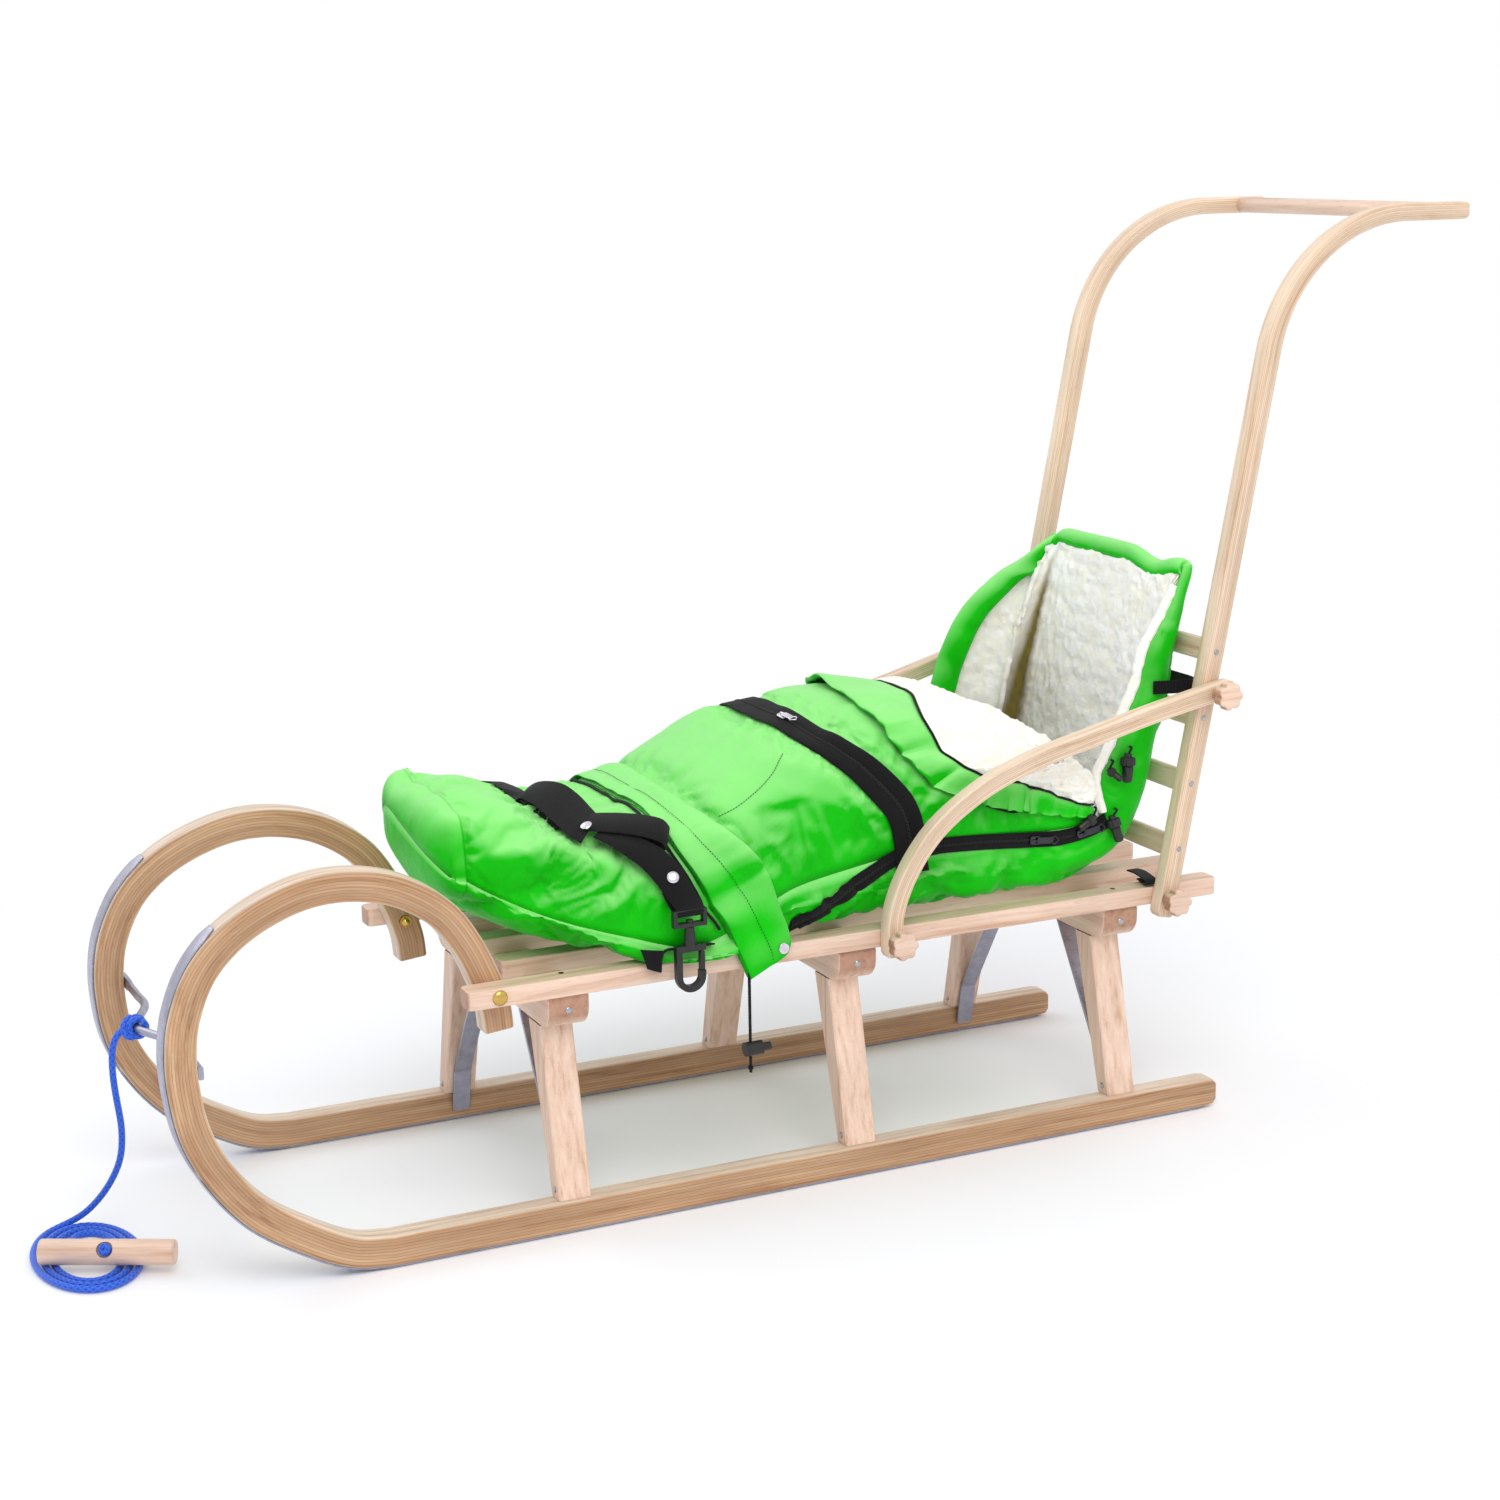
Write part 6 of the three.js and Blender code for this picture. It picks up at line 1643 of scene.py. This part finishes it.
def makeFlap():
    fold, out = flapLine(foldKeys, 4)
    piping, pipingOut = flapLine(pipingKeys, 4.5)
    hem, hemOut = flapLine(hemKeys, 6.5)
    back = np.array([0, 1, 0])
    closing = np.clip(np.arange(flap["count"] + 1)[::-1] / 40, 0.12, 1)[:, None]
    roll = flap["roll"] * closing
    rows = [fold + back * -8 - out * roll * 2.4, fold + back * roll * 0.9 - out * roll * 1.9]
    rows += [fold + back * roll * 1.7 - out * roll * 0.6, fold + back * roll * 1.1 + out * roll * 0.75]
    for share in (0.25, 0.5, 0.75):
        crown = flap["cushion"] * 4 * share * (1 - share) * closing
        way, height = out * (1 - share) + pipingOut * share, crown + 3 * (1 - share) * closing
        rows.append(fold * (1 - share) + piping * share + way * height)
    rows.append(piping + pipingOut * 0.6)
    keys = np.array(rows)
    wool = np.array([spline(keys[:, k], 80) for k in range(0, flap["count"] + 1)])
    woolOut = outFrom(wool, wool.mean((0, 1)) - [0, 0, 200])
    fine = finer(wool, 300, 110)
    fineOut = unit(finer(woolOut, 300, 110))
    edge = np.clip((1 - np.linspace(0, 1, 110)) / 0.05, 0, 1)[None]
    edge = edge * np.clip(np.arange(300)[::-1] / 20, 0, 1)[:, None]
    fine = fine + fineOut * (curls(fine, 83) * edge)[..., None]
    piece = clothSurface("fleeceFlap", fine, [0, -260, 250], 180)
    thick(piece, 0.0025)
    dress(piece, "fleece")
    cordAlong("flapPiping", piping + pipingOut * 1.6, 0.0013)
    ripple = (2.6 * np.sin(lengths(hem) / 26) + 2.0 * np.sin(lengths(hem) / 11 + 1))[:, None] * closing
    profile = [
        (0, 0.4, 0), (0.12, 2.6, 0.1), (0.4, 3.4, 0.3), (0.7, 2.6, 0.7), (0.9, 2.2, 1), (0.985, 2.2, 1),
        (1.0, 0.6, 1), (0.975, -1.4, 1), (0.9, -2.0, 0.9)]
    mix = [(1 - s) * pipingOut + s * hemOut for s, _, _ in profile]
    grid = []
    for (share, lift, waved), way in zip(profile, mix):
        height = lift * closing + ripple * waved * 0.8
        grid.append(piping * (1 - share) + hem * share + unit(way) * height)
    grid = np.stack(grid, 1)
    hemPiece = clothSurface("flapHem", grid, [0, -300, 250])
    thick(hemPiece, 0.0011)
    dress(hemPiece, "green")


makeFlap()
print("flap made")

# Cuff band: a doubled green belt over the knees, its tip hanging past the near slat

cuff = {"stitchShare": (0.46, 0.6), "points": 170}
cuffFront = [
    (-586, 176), (-598, 160), (-606, 138), (-609, 110), (-608, 88), (-604, 76), (-603, 60), (-598, 40),
    (-588, 20), (-579, 7)]
cuffRear = [
    (-520, 176), (-535, 160), (-550, 138), (-560, 110), (-566, 88), (-566, 76), (-560, 60), (-545, 40),
    (-524, 20), (-510, 7)]
cuffFrontSide = [(170, -569, 280), (171, -560, 262), (172.5, -551, 240), (173.5, -542, 219)]
cuffRearSide = [(167.5, -501, 282), (169.5, -495, 264), (171.5, -493, 250), (173, -497, 240)]


def makeCuff():
    edges, outs = [], []
    for keys, side in ((cuffFront, cuffFrontSide), (cuffRear, cuffRearSide)):
        top, out = onCover(*threaded(keys, 90).T, 1.0)
        path = np.concatenate([top, curve([top[-1]] + [list(p) for p in side], 40)[4:]])
        away = np.concatenate([out, np.broadcast_to([1.0, 0, 0.1], (len(path) - len(out), 3))])
        marks = np.linspace(0, 1, cuff["points"])
        run = lengths(path) / lengths(path)[-1]
        edges.append(resampled(path, run, marks))
        outs.append(unit(resampled(away, run, marks)))
    first, second = edges
    out = unit(outs[0] + outs[1])
    soften(out, 8, weight=1, directions=True)
    seam = np.interp(marks, [0.5, 0.8, 1], [cuff["stitchShare"][0], 0.5, cuff["stitchShare"][1]])
    profile = [
        (0.03, -0.6), (-0.01, 1.2), (0.02, 3.6), (0.1, 4.6), (0.25, 4.8), (-1, 3.2), (0.62, 4.6), (0.78, 5.0),
        (0.92, 4.2), (1.0, 2.0), (1.01, 0.2), (0.97, -0.8)]
    run = lengths(first)
    pucker = 1.3 * np.sin(run / 8.5) + 1.1 * np.sin(run / 19 + 2)
    grid = []
    for share, lift in profile:
        at = seam if share < 0 else np.full_like(seam, share)
        loose = pucker * math.exp(-((max(share, 0.5) - 0.62) / 0.3) ** 2) * (0 if lift < 0 else 0.6)
        grid.append(first + (second - first) * at[:, None] + out * (lift + loose)[:, None])
    grid = np.stack(grid, 1)
    piece = softer(thick(clothSurface("cuffBelt", grid, [0, -560, 250]), 0.0014))
    dress(piece, "green", stands=("cuff_band",))
    line = first + (second - first) * seam[:, None] + out * 4.7
    dress(stitches("cuffStitching", line, out, 3.2, 2.8, 0.5), "cord")
    cordAlong("cuffPiping", first[30:150] + out[30:150] * 0.6 + [0, -2.2, 0], 0.0015)
    keys = threaded([(-466, 55), (-482, 48), (-500, 44.5), (-528, 43.5), (-546, 46)], 60)
    seamLine, seamOut = onCover(*keys.T, 0.5)
    dress(stitches("coverStitching", seamLine, seamOut, 3.1, 2.9, 0.55), "cord")
    profile = np.array([
        (0, 5.2), (0.9, 5.6), (1.6, 5.0), (1.9, 3.6), (1.5, 2.4), (1.7, 1.0), (1.7, 0.05)]) / 1000
    snap = lathe("cuffSnap", profile, place([177.2, -503, 247]), (1, 0.1, 0.1), 32)
    dress(snap, "stud")


makeCuff()
print("cuff made")


# Foot strap: webbing from the far side over the foot, folded into two loops held by studs, to the near eye

webs = {"thickness": 1.5, "width": 0.026}
strapFar = [
    ((-146, -712, 336), (-146, -687, 336)), ((-128, -714, 366), (-128, -689, 363)),
    ((-90, -713, 380), (-90, -688, 376)), ((-40, -713, 382), (-40, -688, 379)),
    ((0, -713, 381), (4, -688, 379)), ((40, -712, 380), (44, -687, 378))]
loopStanding = [
    ((96, -702, 371), (66, -661, 374)), ((60, -706, 378.5), (34, -672, 380)),
    ((34, -712, 381), (10, -684, 382)), ((24, -715, 384), (2, -694, 388)), ((28, -713, 388), (10, -690, 396)),
    ((48, -709, 388), (24, -682, 401)), ((72, -706, 384), (40, -671, 400)),
    ((97, -703, 378), (56, -662, 392)), ((119, -698, 371), (72, -656, 382)),
    ((130, -690, 364), (84, -653, 376)),
]
loopFlat = [
    ((106, -684, 371), (76, -668, 378)), ((117, -668, 370), (86, -650, 379)),
    ((127, -648, 368), (95, -634, 379)), ((137, -628, 364), (106, -614, 377)),
    ((145, -614, 358), (118, -600, 373)), ((148, -611, 352), (124, -597, 366)),
    ((143, -617, 351), (116, -603, 364)), ((134, -636, 356), (106, -624, 368)),
    ((124, -656, 362), (96, -644, 371)),
]
strapRun = [
    ((122, -674, 366), (104, -656, 371)), ((136, -664, 361), (118, -644, 367)),
    ((148, -653, 352), (134, -627, 361)), ((159, -639, 339), (148, -612, 351)),
    ((168, -628, 323), (162, -602, 336)), ((175, -621, 310), (173, -595, 318)),
    ((181, -618, 304), (181, -590.5, 306)), ((186.5, -618, 299.5), (186.5, -590, 300)),
    ((183, -618, 295.2), (183, -590, 295.2)), ((177, -619, 299), (176, -591, 301)),
    ((169, -625, 315), (165, -600, 324)),
]


topCloud = cover[:, 8:-8].reshape(-1, 3)


def above(points, clearance):
    # Lifts points over the cover where they would sink into it.
    gap = ((points[:, None, :2] - topCloud[None, :, :2]) ** 2).sum(-1)
    nearest = np.argpartition(gap, 4, axis=1)[:, :4]
    height = topCloud[nearest, 2].max(1) + clearance
    lifted = points.copy()
    inside = np.sqrt(np.take_along_axis(gap, nearest, 1).min(1)) < 6
    lifted[:, 2] = np.where(inside, np.maximum(points[:, 2], height), points[:, 2])
    return lifted


def webbing(name, pairs, steps, clearance=None):
    # Both edges are drawn through their points; the strap has a flat section between them.
    first = curve([a for a, b in pairs], steps)
    second = curve([b for a, b in pairs], steps)
    if clearance is not None:
        first, second = above(first, clearance), above(second, clearance)
        soften(first, 10)
        soften(second, 10)
    out = unit(np.cross(np.gradient((first + second) / 2, axis=0), second - first))
    soften(out, 3, directions=True)
    shares = np.array([0, 0.03, 0.5, 0.97, 1.0, 0.97, 0.5, 0.03])
    lifts = np.array([0, 0.5, 0.5, 0.5, 0, -0.5, -0.5, -0.5]) * webs["thickness"]
    grid = first[:, None] + (second - first)[:, None] * shares[:, None] + out[:, None] * lifts[:, None]
    run = lengths((first + second) / 2) / 1000
    wide = np.concatenate([shares[:5], 2 - shares[5:], [2.0]]) * webs["width"]
    uv = np.stack(np.broadcast_arrays(run[:, None], wide[None]), -1)
    return surface(name, place(grid), around=True, caps=True, uv=uv, sharp=50)


def stud(name, at, out):
    profile = np.array([
        (-1.5, 4.6), (0, 5.6), (0.9, 5.7), (1.6, 5.0), (2.1, 3.4), (2.3, 1.4), (2.3, 0.05)]) / 1000
    return dress(lathe(name, profile, place(at), out, 36), "stud")


def makeStrap():
    for name, pairs, steps, clearance in (
        ("strapFarRun", strapFar, 90, 1.4), ("strapStandingLoop", loopStanding, 130, None),
        ("strapFlatLoop", loopFlat, 110, None), ("strapNearRun", strapRun, 150, 1.4),
    ):
        piece = webbing(name, pairs, steps, clearance)
        dress(piece, "webbing", stands=("foot_strap",))
    stud("strapStudUpper", [112, -677, 375.5], (0.25, -0.4, 1))
    stud("strapStudLower", [167.5, -613, 330], (0.85, -0.25, 0.55))


makeStrap()
print("strap made")

# The eye, swivel hook, its gate, the cord lock and its button keep their solids; the hood's stoppers are made

for nodeName in ("snap_eye", "snap_hook", "snap_gate", "cord_lock", "cord_lock_button"):
    coat(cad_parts[nodeName], "plastic")

ribs = {"depth": 0.0007, "count": 14, "power": 1.0}


def cordStopper(name, at, down, size):
    # A toggle for an elastic cord: a ribbed head with a press button above a slim barrel.
    profile = np.array([
        (-0.004, 0.0002, 0), (-0.004, 0.0036, 0), (-0.0004, 0.0042, 0), (0, 0.0066, 0.4), (0.001, 0.0078, 1),
        (0.0078, 0.0078, 1), (0.009, 0.0066, 0.4), (0.0096, 0.0052, 0), (0.0102, 0.0056, 0),
        (0.023, 0.0052, 0),
        (0.0252, 0.0042, 0), (0.026, 0.0025, 0), (0.026, 0.0002, 0)])
    return dress(lathe(name, profile * size, at, down, 56, ribs), "plastic")


def makeStoppers():
    spots = [(-99, 384, (0.12, -0.1, -1), 1.0), (-120, 372, (0.5, 0.3, -0.35), 0.62)]
    spots += [(-118, 322, (0.2, 0.25, -1), 0.95), (-143, 327, (0.15, -0.9, -0.4), 0.8)]
    for number, (y, z, down, size) in enumerate(spots):
        (at,), (out,) = onSide([[y, z]], 7.0)
        cordStopper(f"hoodStopper{number}", place(at), unit(down), size)
        (root,), _ = onSide([[y + 5, z + 10]], 0.5)
        path = curve([root, root + out * 5 - [0, 0, 1], at + out * 1.5 + [0, 0, 4], at], 16)
        dress(tube(f"hoodStopperLoop{number}", place(path), 0.0012, 8), "cord")
    line, _ = onSide(threaded([(-262, 352), (-236, 343), (-205, 340), (-170, 336), (-137, 331)], 60), 2.0)
    cordAlong("hemElastic", line, 0.0011, 8)


makeStoppers()

drawcord = {"x": 174.7, "y": -539, "top": 226.7, "length": 100, "radius": 1.5, "knot": 2.9}


def makeDrawcord():
    low = drawcord["top"] - drawcord["length"]
    heights = np.linspace(drawcord["top"], low, 60)
    path = place(np.stack([np.full(60, drawcord["x"]), np.full(60, drawcord["y"]), heights], 1))

    def braid(run, angle):
        turn = run * 2 * math.pi / 0.006
        return 0.00012 * np.cos(2 * angle + turn) * np.cos(2 * angle - turn)

    cord = tube("drawcordBraid", evenly(path, 0.0006), drawcord["radius"] / 1000, 16, relief=braid)
    dress(cord, "cord", stands=("drawcord",))
    size = drawcord["knot"] / 1000
    profile = [(-size, 0.0003), (-size * 0.8, size * 0.6), (-size * 0.3, size * 0.95), (0, size * 0.85)]
    profile += [(size * 0.3, size * 0.95), (size * 0.8, size * 0.6), (size, 0.0003)]
    knot = lathe("drawcordKnot", profile, place([drawcord["x"], drawcord["y"], low + 5]), (0.15, 0, 1), 20)
    dress(knot, "cord")


makeDrawcord()
print("hook, stoppers and drawcord made")

# The strap round the backrest, and the black patch at the bag's low edge

backStrap = [
    (147, -66, 452), (151, -50, 452), (155, -37, 452), (157, -27, 452), (150, -19, 452), (120, -17.5, 452),
    (60, -17.5, 452), (0, -17.5, 452)]


def makeBackStrap():
    near = curve(backStrap, 70)
    path = np.concatenate([near, (near * [-1, 1, 1])[::-1][1:]])
    rise = np.array([0, 0, 7.0])
    pairs = list(zip((path - rise).tolist(), (path + rise).tolist()))
    piece = webbing("backrestStrap", pairs[::4], 200)
    dress(piece, "webbing")
    top = threaded([(-650, 266), (-620, 262), (-596, 262), (-576, 262)], 40)
    low = threaded([(-644, 246), (-622, 238), (-600, 234), (-580, 233)], 40)
    edges = []
    for line in (top, low):
        gap = ((line[:, None, :2] - sideCloud[None, :, 1:]) ** 2).sum(-1)
        across = np.where(gap < 100, sideCloud[None, :, 0], 0).max(1)
        soften(across, 6)
        edges.append(np.concatenate([across[:, None] + 7, line[:, :2]], 1))
    out = np.broadcast_to([1.0, 0, 0], edges[0].shape)
    patch = band(
        "edgePatch", edges[0], edges[1], out, [(0, 0), (0.03, 1.0), (0.5, 1.2), (0.97, 1.0), (1, 0)], 0.0014)
    dress(patch, "webbing")
    loop = [
        ((112, -72, 251), (112, -58, 251)), ((128, -75, 253), (129, -60, 253)),
        ((146, -79, 254), (148, -65, 254)), ((160, -82, 253.5), (162, -68, 253.5)),
        ((165, -83, 251), (167, -69, 251)), ((160, -82, 249.6), (162, -68, 249.6)),
        ((140, -78, 249.6), (142, -64, 249.6)),
    ]
    piece = webbing("seatStrapEnd", loop, 60)
    dress(piece, "webbing")
    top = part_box("seat_slat_outer_left")[1][2]
    for number, (x, y) in enumerate([(148, -721), (151.6, -114.7), (-148, -721), (-151.6, -114.7)]):
        spot = place([x, y, 0])
        spot = [float(spot[0]), float(spot[1]), top]
        profile = [(-0.0004, 0.0026), (0.0002, 0.0027), (0.0004, 0.0018), (0.0002, 0.0001)]
        head = lathe(f"slatScrew{number}", profile, spot, (0, 0, 1), 20)
        dress(head, "darkSteel")


makeBackStrap()
print("back strap made")
